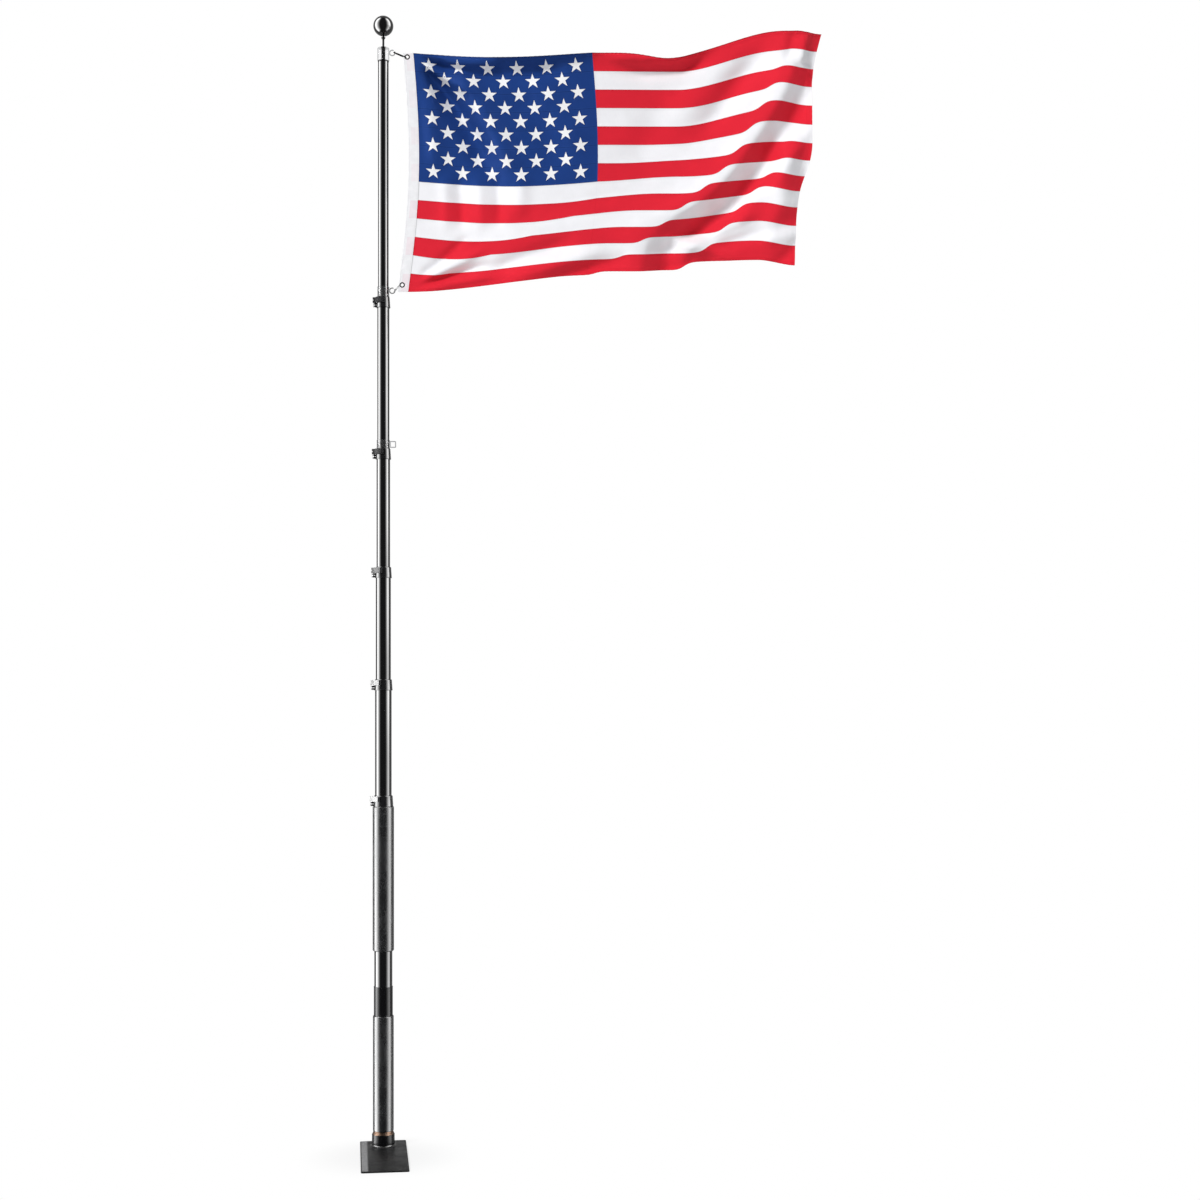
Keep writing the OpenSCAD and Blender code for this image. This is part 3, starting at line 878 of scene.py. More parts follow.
class FLAGPOLE_OT_clamps(bpy.types.Operator):
    """The five clamps: tapered collar with its slit lug, flip lever and pin"""

    bl_idname = "flagpole.clamps"
    bl_label = "Clamps"

    # from the lowest lever to the highest: share of painted highlight in its plastic, which makes the lower
    # levers pale to stand in for their reflection of the left softbox, and its material slot
    LEVER_PAINTED_HIGHLIGHT = (1.0, 0.85, 0.32, 0.03, 0.01)
    LEVER_SLOTS = (
        "pale_lever_plastic", "pale_lever_plastic", "grey_lever_plastic", "lever_plastic", "lever_plastic",
    )
    TIP = 5 * MM

    def execute(self, context):
        finishes = context.scene.flagpole_finishes
        moulded = coat_material(
            "Collar plastic", (0.007, 0.007, 0.008), 0.14, 900.0, 0.06, 0.1, bare=(0.12, 0.12, 0.13),
            scuffs=0.15,
            dust=0.05, specular=0.8,
        )
        tip = coat_material(
            "Lever tip plastic", (0.012, 0.012, 0.013), 0.5, 900.0, 0.08, 0.1, bare=(0.14, 0.14, 0.15),
            scuffs=0.15,
            dust=0.02, specular=0.1,
        )
        steel = metal_material("Pin steel", (0.55, 0.55, 0.57), 0.25, 0.4)
        for k in range(1, CLAMPS + 1):
            settle(self.collar(k, finishes.sides), f"collar_{k}", "collar_plastic", moulded)
            settle(self.lever(k), f"lever_{k}", self.LEVER_SLOTS[k - 1], self.lever_finish(k), tip)
            settle(self.pin(k), f"lever_pin_{k}", "pin_steel", steel)
        return {"FINISHED"}

    def lever_finish(self, k):
        """Satin moulded plastic with a painted highlight: pale on the lowest levers and black on the highest,
        standing in for the left softbox's reflection.
        """
        # painted highlight: the lever's share lightens its colour and raises its specular
        pale = self.LEVER_PAINTED_HIGHLIGHT[k - 1]
        colour = tuple(black + (0.62 - black) * pale for black in (0.012, 0.012, 0.013))
        return coat_material(
            f"Lever {k} plastic", colour, 0.5, 900.0, 0.08, 0.1, bare=(0.14, 0.14, 0.15), scuffs=0.15,
            dust=0.02, specular=0.1 + 0.3 * pale,
        )

    def collar(self, k, sides):
        """Tapered sleeve with a rolled foot, a step under its lip, and the slit lug at its side."""
        low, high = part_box(f"collar_{k}")
        tube_r = node_radius(f"tube_{k}")
        next_r = node_radius(f"tube_{k + 1}")
        wall, gap, lip = 4 * MM, 0.4 * MM, 4 * MM
        foot_r, top_r = tube_r + wall, next_r + wall
        bead_z = low.z + 2.2 * MM
        corners = [
            (tube_r + 0.02 * MM, low.z, 0), (foot_r, low.z, 1.1 * MM), (foot_r, bead_z, 0.5 * MM),
            (foot_r - 0.6 * MM, bead_z + 0.5 * MM, 0.4 * MM),
            (top_r + 0.2 * MM, high.z - 8 * MM, 2 * MM), (top_r, high.z - 2.4 * MM, 1 * MM),
            (top_r - 1.8 * MM, high.z, 1 * MM), (next_r + gap, high.z, 0.5 * MM),
            (next_r + gap, high.z - lip, 0), (tube_r + 0.02 * MM, high.z - lip, 0),
        ]
        body = turned("collar_body", rounded(corners, 0.6 * MM, 4), sides)
        pin = node_middle(f"lever_pin_{k}")
        lug_r, lug_low, lug_h, slit = 6.5 * MM, low.z + 2 * MM, 15.5 * MM, 3 * MM
        middle = lug_low + lug_h / 2
        reach = -(tube_r + 1.6 * MM)

        def lobe(foot, top):
            plan = arc((pin.x, 0), lug_r, 90, 270, 14) + [(reach, -lug_r), (reach, lug_r)]
            blank = solid("lobe_blank", lambda bm: extruded(bm, plan, foot, top))
            return combined("lobe", blank, bevel=0.9 * MM, segments=3)

        added = [
            lobe(lug_low, middle - slit / 2),
            lobe(middle + slit / 2, lug_low + lug_h),
        ]
        bore = solid(
            "pin_bore",
            lambda bm: spin(bm, [(0, low.z - 1 * MM), (2.5 * MM, low.z - 1 * MM), (2.5 * MM, high.z),
                                 (0, high.z)],
                            32, (pin.x, 0)),
        )
        piece = combined(f"clamp_collar_{k}", body, added, [bore])
        mark_edges(piece)
        return piece

    def lever(self, k):
        """Curved arm round the collar's front, a hub on the pin and a forked thumb tab."""
        low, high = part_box(f"lever_{k}")
        pin = node_middle(f"lever_pin_{k}")
        hub_r = 5.2 * MM
        inner = -pin.x - hub_r
        thick, bead = 5 * MM, 0.5 * MM
        middle = inner + thick / 2
        arm_l = 47 * MM
        end = 180 + math.degrees(arm_l / middle)
        tip = (middle * math.cos(math.radians(end)), middle * math.sin(math.radians(end)))
        outer_arc = arc((0, 0), inner + thick, 181, end, 26)
        cap = arc(tip, thick / 2 + bead, end, end + 180, 12)
        inner_arc = arc((0, 0), inner, end, 181, 26)
        arm = solid("arm", lambda bm: extruded(bm, outer_arc + cap[1:-1] + inner_arc, low.z, high.z))
        hub = solid("hub", lambda bm: extruded(bm, arc((pin.x, 0), hub_r, 0, 352.5, 47), low.z, high.z))
        thumb_l, thumb_w, notch = 9 * MM, 8 * MM, 4 * MM
        plan = arc((pin.x - thumb_l + thumb_w / 2, 0), thumb_w / 2, 90, 270, 14)
        plan += [(pin.x, -thumb_w / 2), (pin.x, thumb_w / 2)]
        thumb = solid("thumb", lambda bm: extruded(bm, plan, low.z, high.z))
        bore = solid(
            "lever_bore",
            lambda bm: spin(bm, [(0, low.z - 1 * MM), (2.55 * MM, low.z - 1 * MM),
                                 (2.55 * MM, high.z + 1 * MM),
                                 (0, high.z + 1 * MM)], 32, (pin.x, 0)),
        )
        half = (low.z + high.z) / 2
        far = pin.x - thumb_l - 2 * MM
        near = pin.x - thumb_l / 2 - 1 * MM
        slot_plan = [(far, -thumb_w), (near, -thumb_w), (near, thumb_w), (far, thumb_w)]
        gap = solid("notch", lambda bm: extruded(bm, slot_plan, half - notch / 2, half + notch / 2))
        piece = combined(f"clamp_lever_{k}", arm, [hub, thumb], [bore, gap], bevel=0.7 * MM, segments=3)
        mark_edges(piece)
        for face in piece.data.polygons:
            turn = math.degrees(math.atan2(face.center.y, face.center.x)) % 360
            face.material_index = int(turn > end - math.degrees(self.TIP / middle))
        return piece

    def pin(self, k):
        """Steel pin with domed ends."""
        low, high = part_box(f"lever_pin_{k}")
        middle = node_middle(f"lever_pin_{k}")
        r = 2.5 * MM
        outline = rounded([(0, low.z), (r, low.z), (r, high.z), (0, high.z)], 0.8 * MM, 4)
        bm = bmesh.new()
        spin(bm, outline, 40, (middle.x, middle.y))
        return piece_from_bmesh(f"clamp_pin_{k}", bm)


class FLAGPOLE_OT_finial(bpy.types.Operator):
    """Plug in the top tube, stem and ball"""

    bl_idname = "flagpole.finial"
    bl_label = "Finial"

    def execute(self, context):
        finishes = context.scene.flagpole_finishes
        self.plug(finishes)
        self.stem(finishes)
        self.ball()
        return {"FINISHED"}

    def plug(self, finishes):
        """Spigot, flange, neck for the ring and its cap."""
        low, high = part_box("top_plug")
        tube_r = node_radius("tube_6")
        spigot, flange, neck, cap = tube_r - 2.45 * MM, tube_r + 0.8 * MM, 7.5 * MM, 8.6 * MM
        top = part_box("tube_6")[1].z
        neck_z, cap_z = top + 5.5 * MM, high.z - 3 * MM
        corners = [
            (0, low.z), (spigot, low.z, 1 * MM), (spigot, top, 0), (flange, top, 0.6 * MM),
            (flange, neck_z, 1.6 * MM), (neck, neck_z, 1.2 * MM), (neck, cap_z, 0.3 * MM),
            (cap, cap_z, 0.6 * MM),
            (cap, high.z, 1 * MM), (0, high.z),
        ]
        piece = turned("ring_plug", rounded(corners, 0.6 * MM, 4), finishes.sides)
        mark_edges(piece)
        coat = coat_material(
            "Plug plastic", (0.006, 0.006, 0.007), 0.28, 900.0, 0.1, 0.1, bare=(0.1, 0.1, 0.11), dust=0.03,
            specular=0.2,
        )
        settle(piece, "top_plug", "plug_plastic", coat)

    def stem(self, finishes):
        """Thin stem with a turned bead under the ball."""
        low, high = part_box("finial_stem")
        ball_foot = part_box("finial_ball")[0].z
        r, bead = 4 * MM, 8 * MM
        bead_z = ball_foot - 9 * MM
        corners = [
            (0, low.z), (r + 1 * MM, low.z, 0.6 * MM), (r, low.z + 4 * MM, 2 * MM),
            (r, bead_z - 5 * MM, 2 * MM),
            (bead, bead_z, 1.2 * MM), (bead, bead_z + 3 * MM, 1.2 * MM), (r, bead_z + 4 * MM, 0.4 * MM),
            (r - 1 * MM, bead_z + 5 * MM, 0.5 * MM), (r - 1 * MM, high.z, 0.3 * MM), (0, high.z),
        ]
        piece = turned("ball_stem", rounded(corners, 0.6 * MM, 5), 64)
        mark_edges(piece)
        coat = coat_material(
            "Stem gloss coat", tuple(finishes.coat), 0.22, 700.0, 0.05, 0.1, drawn=0.2, specular=0.15,
            dust=0.02
        )
        settle(piece, "finial_stem", "stem_coat", coat)

    def ball(self):
        """Ball with an open recess in its foot and a fine parting line round its middle."""
        r = node_radius("finial_ball")
        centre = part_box("finial_ball")[1].z - r
        recess, bore, floor = 8 * MM, 3.02 * MM, 4 * MM
        start = math.degrees(math.asin(recess / r)) - 90
        outline = []
        steps = 72
        for k in range(steps + 1):
            a = math.radians(start + (90 - start) * k / steps)
            groove = 0.10 * MM * math.exp(-((r * a / (0.35 * MM)) ** 2))
            outline.append(((r - groove) * math.cos(a) if k < steps else 0.0,
                            centre + (r - groove) * math.sin(a)))
        mouth_z = centre + r * math.sin(math.radians(start))
        inner_floor = centre - r + floor
        top_of_bore = centre - r + 12 * MM
        hollow = [(0.0, top_of_bore), (bore, top_of_bore), (bore, inner_floor),
                  (recess - 0.5 * MM, inner_floor),
                  (recess, inner_floor - 0.6 * MM), (recess, mouth_z + 0.4 * MM)]
        piece = turned("finial_globe", outline + hollow, 128, 50.0)
        coat = coat_material("Ball gloss coat", (0.004, 0.004, 0.0045), 0.03, 300.0, 0.01, 0.0, scuffs=0.05,
                             dust=0.03)
        settle(piece, "finial_ball", "ball_coat", coat)


# ---------------------------------------------------------------- rings, links and eyelets


def fly_matrix():
    """Turn from the row frame's +X to the way the flag flies."""
    middle = node_middle("upper_grommet")
    return Matrix.Rotation(math.atan2(middle.y, middle.x), 4, "Z")


def fly_axes():
    """Unit vectors along the fly, towards the front of the flag, and up."""
    turn = fly_matrix().to_3x3()
    return np.array(turn @ Vector((1, 0, 0))), np.array(turn @ Vector((0, -1, 0))), np.array((0.0, 0.0, 1.0))


def reach(node):
    """Distance of a node's middle from the pole's axis."""
    return node_middle(node).xy.length


class FLAGPOLE_OT_rings(bpy.types.Operator):
    """The three clear plastic rings"""

    bl_idname = "flagpole.rings"
    bl_label = "Rings"

    EYE_X, EYE_R, EYE_BAR = 34 * MM, 10.2 * MM, 2.2 * MM

    def execute(self, context):
        sides = context.scene.flagpole_finishes.sides
        wall = clear_material("Clear plastic", (0.98, 0.98, 0.985), (0.16, 0.165, 0.17), 0.3, 0.8)
        film = film_material("Clear plastic film", (0.24, 0.245, 0.25), 0.06)
        pale = clear_material("Clear plastic bar", (0.40, 0.405, 0.41), (0.13, 0.135, 0.14), 0.1, 0.7)
        dark = film_material("Grey clear plastic bar", (0.06, 0.06, 0.062), 0.6)
        for node, made, hoop, bars in (
            ("upper_ring", self.upper(sides), wall, pale),
            ("lower_ring", self.lower(sides), film, dark),
            ("spare_ring", self.spare(sides), film, pale),
        ):
            hoop_r = max(Vector(v.co.xy).length for v in made.data.vertices if v.co.x < 0)
            for face in made.data.polygons:
                face.material_index = int(face.center.xy.length > hoop_r + 0.6 * MM)
            settle(made, node, "clear_plastic", hoop, bars)
        return {"FINISHED"}

    def eye(self, z):
        """Round hook beside a ring, open for a short stretch."""
        points = []
        steps = 44
        for k in range(steps + 1):
            a = math.radians(70 + (385 - 70) * k / steps)
            points.append((self.EYE_X + self.EYE_R * math.cos(a), 0, z + self.EYE_R * math.sin(a)))
        return solid("eye", lambda bm: swept(bm, points, self.EYE_BAR, 20))

    def hooped(self, name, outline, eye_z, inner, sides):
        """Ring of that outline with its eye, kept clear of the bore."""
        ring = turned("hoop", outline, sides)
        low, high = min(p[1] for p in outline), max(p[1] for p in outline)
        bore = solid(
            "bore",
            lambda bm: spin(bm, [(0, low - 5 * MM), (inner, low - 5 * MM), (inner, high + 5 * MM),
                                 (0, high + 5 * MM)],
                            sides),
        )
        eye = combined("cut_eye", self.eye(eye_z), (), [bore])
        piece = combined(name, ring, [eye], ())
        piece.data.transform(fly_matrix())
        return piece

    def upper(self, sides):
        """Ring closed by a disc at its top, which turns on the plug's neck."""
        low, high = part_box("upper_ring")
        plug_r = 7.5 * MM
        outer = node_radius("tube_6") + 2.3 * MM
        inner = outer - 2 * MM
        disc = 3 * MM
        corners = [
            (inner, low.z, 0.5 * MM), (outer, low.z, 0.8 * MM), (outer, high.z - 1 * MM, 1.2 * MM),
            (outer - 2 * MM, high.z, 0.6 * MM), (plug_r + 0.12 * MM, high.z, 0.5 * MM),
            (plug_r + 0.12 * MM, high.z - disc, 0.3 * MM), (inner, high.z - disc, 1 * MM),
        ]
        return self.hooped("upper_swivel_ring", rounded(corners, 0.5 * MM), low.z + 29.5 * MM, inner, sides)

    def lower(self, sides):
        """Plain ring with beaded rims."""
        low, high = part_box("lower_ring")
        inner = node_radius("tube_6") + 0.5 * MM
        outer = inner + 2.5 * MM
        return self.hooped(
            "lower_swivel_ring", self.beaded(inner, outer, low.z, high.z), low.z + 23 * MM, inner, sides
        )

    def beaded(self, inner, outer, low, high):
        """Outline of a ring with a slightly thicker rim at each end."""
        rim, step = 3 * MM, 0.5 * MM
        corners = [
            (inner, low), (outer, low, 0.8 * MM), (outer, low + rim), (outer - step, low + rim + step),
            (outer - step, high - rim - step), (outer, high - rim), (outer, high, 0.8 * MM), (inner, high),
        ]
        return rounded(corners, 0.4 * MM, 3)

    def spare(self, sides):
        """Ring with a square loop at its side, for another flag's hook."""
        low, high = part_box("spare_ring")
        inner = node_radius("tube_5") + 0.5 * MM
        outer = inner + 2 * MM
        ring = turned("hoop", self.beaded(inner, outer, low.z, high.z), sides)
        foot, left = low.z + 2 * MM, outer - 1 * MM
        width, height, bar, corner = 24 * MM, 26 * MM, 4 * MM, 4 * MM

        def loop(bm):
            rounds = []
            for x, z, start in (
                (left + width - corner, foot + height - corner, 0),
                (left + corner, foot + height - corner, 90),
                (left + corner, foot + corner, 180), (left + width - corner, foot + corner, 270),
            ):
                rounds += arc((x, z), corner - bar / 2, start, start + 90, 6)
            swept(bm, [(x, 0, z) for x, z in rounds], bar / 2, 20, closed=True)

        bore = solid("bore", lambda bm: spin(
            bm, [(0, low.z), (inner + 0.2 * MM, low.z), (inner + 0.2 * MM, high.z), (0, high.z)], sides))
        looped = combined("cut_loop", solid("loop", loop), (), [bore])
        return combined("spare_swivel_ring", ring, [looped], ())


class FLAGPOLE_OT_links(bpy.types.Operator):
    """Links from the rings to the heading, and the heading's eyelets"""

    bl_idname = "flagpole.links"
    bl_label = "Links and Eyelets"

    def execute(self, context):
        steel = metal_material("Link steel", (0.008, 0.008, 0.009), 0.35, 0.5)
        eyelet = metal_material("Eyelet metal", (0.016, 0.012, 0.010), 0.35, 0.7)
        clear = film_material("Clear plastic link", (0.24, 0.245, 0.25), 0.1)
        settle(self.link("upper"), "upper_link", "link_steel", steel)
        settle(self.link("lower"), "lower_link", "clear_plastic", clear)
        for end in ("upper", "lower"):
            settle(self.eyelet(end), f"{end}_grommet", "grommet_metal", eyelet)
        return {"FINISHED"}

    def link(self, end):
        """Two loops of wire and a shank, with the loop's tail wound round the shank."""
        eye_r, grommet_r, bar = 5.5 * MM, 6.5 * MM, 1.5 * MM
        flat_low, flat_high = self.local_span(f"{end}_link")
        first = Vector((flat_low + eye_r + bar, 0, 0))
        last = Vector((flat_high - grommet_r - bar, 0, 0))
        heights = self.loop_heights(end, first.x, last.x)
        first.z, last.z = heights
        along = (last - first).normalized()
        start = first + along * eye_r
        finish = last - along * grommet_r
        bm = bmesh.new()
        for centre, r in ((first, eye_r), (last, grommet_r)):
            ring = [centre + along * (r * math.cos(a)) + Vector((0, r * math.sin(a), 0))
                    for a in (2 * math.pi * i / 40 for i in range(40))]
            swept(bm, ring, bar, 16, closed=True)
        swept(bm, [start, start.lerp(finish, 0.5), finish], bar - 0.2 * MM, 16)
        barrel = [start.lerp(finish, 0.06), start.lerp(finish, 0.5), start.lerp(finish, 0.94)]
        swept(bm, barrel, bar + 1.8 * MM, 20)
        turns = 2.5
        length = (finish - start).length
        side = along.orthogonal().normalized()
        other = along.cross(side)
        for base, way in ((start, 1), (finish, -1)):
            coil = []
            for i in range(41):
                a = 2 * math.pi * turns * i / 40
                out = (side * math.cos(a) + other * math.sin(a)) * (bar + 0.35 * MM)
                coil.append(base + along * way * min(0.4 * length, 4.5 * MM) * i / 40 + out)
            swept(bm, coil, 0.75 * MM, 8)
        bmesh.ops.transform(bm, matrix=fly_matrix(), verts=bm.verts)
        return piece_from_bmesh(f"{end}_snap_link", bm)

    def local_span(self, node):
        """Lowest and highest distance of a node's vertices along the fly."""
        along = fly_axes()[0]
        spans = [float(np.dot(along, v.co)) for v in frame["nodes"][node].data.vertices]
        return min(spans), max(spans)

    def loop_heights(self, end, first_x, last_x):
        """Heights of the link's two loops: the eye's, and the eyelet's."""
        along = fly_axes()[0]
        places = [(np.dot(along, v.co), v.co.z) for v in frame["nodes"][f"{end}_link"].data.vertices]
        near = [z for x, z in places if x < first_x]
        far = [z for x, z in places if x > last_x]
        return (min(near) + max(near)) / 2, (min(far) + max(far)) / 2

    def eyelet(self, end):
        """Rolled eyelet: a barrel through the canvas and a curled flange on each face."""
        middle = node_middle(f"{end}_grommet")
        hole, outer, half = 6.0 * MM, 10.6 * MM, 1.6 * MM
        corners = [
            (hole, -half, 0.8 * MM), (outer - 1 * MM, -half, 0.8 * MM), (outer, -half + 0.8 * MM, 0.5 * MM),
            (outer - 0.4 * MM, -0.45 * MM, 0.3 * MM), (hole + 1.4 * MM, -0.45 * MM, 0.2 * MM),
            (hole + 1.4 * MM, 0.45 * MM, 0.2 * MM), (outer - 0.4 * MM, 0.45 * MM, 0.3 * MM),
            (outer, half - 0.8 * MM, 0.5 * MM), (outer - 1 * MM, half, 0.8 * MM), (hole, half, 0.8 * MM),
        ]
        turn = Matrix.Translation((reach(f"{end}_grommet"), 0, middle.z)) @ Matrix.Rotation(math.pi / 2, 4,
                                                                                            "X")
        bm = bmesh.new()
        spin(bm, rounded(corners, 0.4 * MM, 4), 48, turn=fly_matrix() @ turn)
        return piece_from_bmesh(f"{end}_eyelet", bm)


# ---------------------------------------------------------------- the cloth's shape
# Millimetres. x runs from the hoist's top corner along the fly, z down, and depth towards the front.

# The rows sag across the canton
CANTON_SAG = 18.0
# They rise from the hoist's lower corner, first along the foot and further out on the rows above it
CORNER_RISE, CORNER_START = 65.0, 0.9
CORNER_LENGTH, CORNER_SPREAD = 0.2, 0.25
# They rise again between these places on the way to the fly, by this much down the hoist, and droop at
# the edge
FLY_RISE = [(0, 85), (0.3, 60), (0.55, 20), (0.8, 30), (1, 10)]
FLY_RISE_START, FLY_RISE_END = 0.65, 0.9
EDGE_DROOP = 20.0
# Just past the canton the top edge dips, over the first stripe only
TOP_DIP, TOP_DIP_PLACE, TOP_DIP_WIDTH = 20.0, 0.62, 0.06
# Where the cloth is gathered upward across a fold: its place on the top row, how far it has moved towards
# the hoist at the foot, how late it moves, and its rise down the hoist
GATHERS = [
    (0.93, 0.47, 1.7, [(0, 10), (0.3, 35), (0.6, 35), (1, 15)]),
    (0.96, 0.26, 3.0, [(0.35, 0), (0.6, 30), (1, 30)]),
]
GATHER_WIDTH = 0.018
# A ridge hangs lower by this share of its depth, and a valley higher
SAG = 0.27
# Distance of the fly edge from the pole's axis, down the edge from 0 to 1
FLY_EDGE = [(0, 1675), (0.1, 1650), (0.35, 1635), (0.5, 1635), (0.7, 1590), (1, 1570)]
HOIST_LINE, HOIST_RAKE, HOIST_BOW = 113.0, 20.0, 31.0
CANTON_WIDTH, CANTON_SHARE = 683.0, 0.438
TOP_Z, DROP = 4164.0, 910.0

# The deep fold: where its steep face lies, by height, and its depth across, from its left to its right
FOLD_LINE = [(-80, 1500), (100, 1470), (350, 1330), (550, 1170), (720, 940), (860, 900)]
FOLD_STRENGTH = [(-80, 0.5), (60, 0.72), (190, 0.85), (340, 0.88), (600, 0.88), (720, 0.7), (860, 0.6)]
FOLD_PROFILE = [(-420, 0), (-260, 4), (-120, 28), (-62, 46), (-40, 46), (0, 10), (40, -28), (62, -28),
                (90, -4),
                (118, 14), (150, 8), (215, -10), (300, 6), (420, 0)]

# Softer folds: the points they run through, their height towards the front, and their half width
SOFT_FOLDS = [
    # canton: a long valley from its upper left to its foot, ridges beside it, and one under the top edge
    ([(30, 0), (140, 175), (215, 300), (330, 520)], -44, 46),
    ([(120, 0), (235, 165), (310, 300), (430, 520)], 34, 44),
    ([(-20, 100), (50, 260), (110, 480)], 22, 46),
    ([(330, 110), (470, 260), (600, 470)], -20, 60),
    ([(430, 60), (560, 220), (680, 400)], 12, 60),
    ([(150, -30), (330, -16), (520, -14), (780, -40)], 46, 44),
    ([(230, 78), (400, 84), (600, 66)], -26, 34),
    ([(-10, -4), (150, 30), (360, 44)], 20, 16),
    ([(-10, 0), (150, 62), (330, 104)], -20, 16),
    ([(-10, 4), (120, 92), (260, 170)], 19, 16),
    ([(-10, 10), (100, 130), (200, 250)], -18, 18),
    ([(-14, 20), (60, 150), (110, 270)], 10, 18),
    # along the top of the first stripe
    ([(690, 6), (860, 22), (1000, 20), (1160, -40)], 34, 24),
    ([(720, 76), (880, 84), (1030, 66), (1190, 0)], -10, 22),
    # parallel to the deep fold, to its upper left
    ([(1400, -60), (1235, 110), (1165, 225), (1060, 330)], -22, 46),
    ([(1290, -60), (1110, 130), (960, 330)], 14, 60),
    ([(980, 120), (900, 300), (820, 460)], -7, 60),
    # from the lower corner of the hoist
    ([(-24, 908), (150, 878), (360, 838)], 12, 16),
    ([(-24, 902), (140, 850), (330, 792)], -15, 17),
    ([(-20, 896), (130, 820), (300, 735)], 14, 19),
    ([(-14, 888), (110, 790), (230, 680)], -11, 18),
    ([(240, 850), (430, 776), (640, 700)], -18, 30),
    ([(330, 870), (520, 812), (760, 740)], 18, 30),
    ([(460, 880), (640, 830), (860, 770)], -14, 28),
    # upright ripples under the canton
    ([(120, 440), (128, 700)], 9, 22),
    ([(175, 430), (190, 700)], -14, 24),
    ([(250, 430), (262, 700)], 12, 26),
    ([(322, 430), (330, 690)], -15, 26),
    ([(420, 430), (400, 650)], 13, 34),
    # below and right of the deep fold
    ([(900, 690), (1090, 740), (1280, 800)], 20, 24),
    ([(1000, 690), (1130, 690), (1300, 630)], -18, 26),
    ([(1110, 700), (1240, 640), (1350, 500)], 18, 28),
    ([(1440, 230), (1400, 560), (1330, 820)], 20, 42),
    ([(1515, 190), (1490, 560), (1450, 880)], -20, 36),
    ([(1270, 880), (1400, 800), (1510, 690)], -13, 28),
    ([(900, 850), (1060, 800), (1200, 830)], -13, 28),
    # the fly's top corner
    ([(1500, -90), (1490, -20), (1470, 60)], 18, 17),
    ([(1455, -95), (1440, -20), (1420, 40)], -12, 20),
    ([(1480, 20), (1540, 66)], -8, 9),
    ([(1470, 36), (1525, 92)], 8, 10),
    ([(1520, 90), (1540, 160)], -7, 14),
]
CORNER_CURL = 46.0
BILLOW, BILLOW_LENGTH = 34.0, 1500.0


def through(points, at):
    """Smooth curve through given points, at an array of places. Past its ends it stays level."""
    places, values = np.array(points, float).T
    slopes = np.gradient(values, places)
    at = np.clip(at, places[0], places[-1])
    i = np.clip(np.searchsorted(places, at) - 1, 0, len(places) - 2)
    span = places[i + 1] - places[i]
    s = (at - places[i]) / span
    level = values[i] * (2 * s**3 - 3 * s**2 + 1) + values[i + 1] * (3 * s**2 - 2 * s**3)
    return level + span * (slopes[i] * (s**3 - 2 * s**2 + s) + slopes[i + 1] * (s**3 - s**2))


def eased(t):
    """Smooth step from 0 to 1."""
    t = np.clip(t, 0, 1)
    return t * t * (3 - 2 * t)


def soft_fold(x, z, points, height, width):
    """Rounded ridge, or valley, along a line of points, fading out towards both its ends."""
    pairs = list(zip(points, points[1:]))
    lengths = [math.dist(a, b) for a, b in pairs]
    total = sum(lengths)
    best = np.full(x.shape, np.inf)
    place = np.zeros(x.shape)
    done = 0.0
    for (a, b), length in zip(pairs, lengths):
        t = np.clip(((x - a[0]) * (b[0] - a[0]) + (z - a[1]) * (b[1] - a[1])) / length**2, 0, 1)
        away = np.hypot(x - a[0] - t * (b[0] - a[0]), z - a[1] - t * (b[1] - a[1]))
        closer = away < best
        best = np.where(closer, away, best)
        place = np.where(closer, (done + t * length) / total, place)
        done += length
    return height * np.exp(-((best / width) ** 2)) * eased(place / 0.3) * eased((1 - place) / 0.3)


def cloth_depth(x, z):
    """How far the cloth stands in front of the plane of the hoist."""
    line = through(FOLD_LINE, z)
    lean = (through(FOLD_LINE, z + 5) - through(FOLD_LINE, z - 5)) / 10
    away = (x - line) / np.sqrt(1 + lean**2)
    depth = through(FOLD_PROFILE, away) * through(FOLD_STRENGTH, z)
    for points, height, width in SOFT_FOLDS:
        depth += soft_fold(x, z, points, height, width)
    depth -= CORNER_CURL * eased((x - 1500) / 90) * eased((40 - z) / 110)
    depth += BILLOW * np.sin(2 * np.pi * x / BILLOW_LENGTH - 0.4) * eased(x / 400)
    return depth


def row_lift(u, v):
    """How far a row of the cloth stands above a straight row."""
    above_foot = np.clip(1 - v, 0, 1)
    sag_end = CANTON_SHARE * np.clip(above_foot / 0.35, 0.05, 1)
    sag = CANTON_SAG * np.sin(np.pi * np.clip(u / sag_end, 0, 1)) * eased(above_foot / 0.2)
    length = CORNER_LENGTH + CORNER_SPREAD * v**3
    corner = CORNER_RISE * v**2 * eased((u - CORNER_START * above_foot) / length)
    rise = through(FLY_RISE, v) * eased((u - FLY_RISE_START) / (FLY_RISE_END - FLY_RISE_START))
    droop = EDGE_DROOP * eased((u - FLY_RISE_END) / (1 - FLY_RISE_END))
    dip = TOP_DIP * np.exp(-(((u - TOP_DIP_PLACE) / TOP_DIP_WIDTH) ** 2)) * eased(1 - v * STRIPES)
    return corner + rise - sag - droop - dip


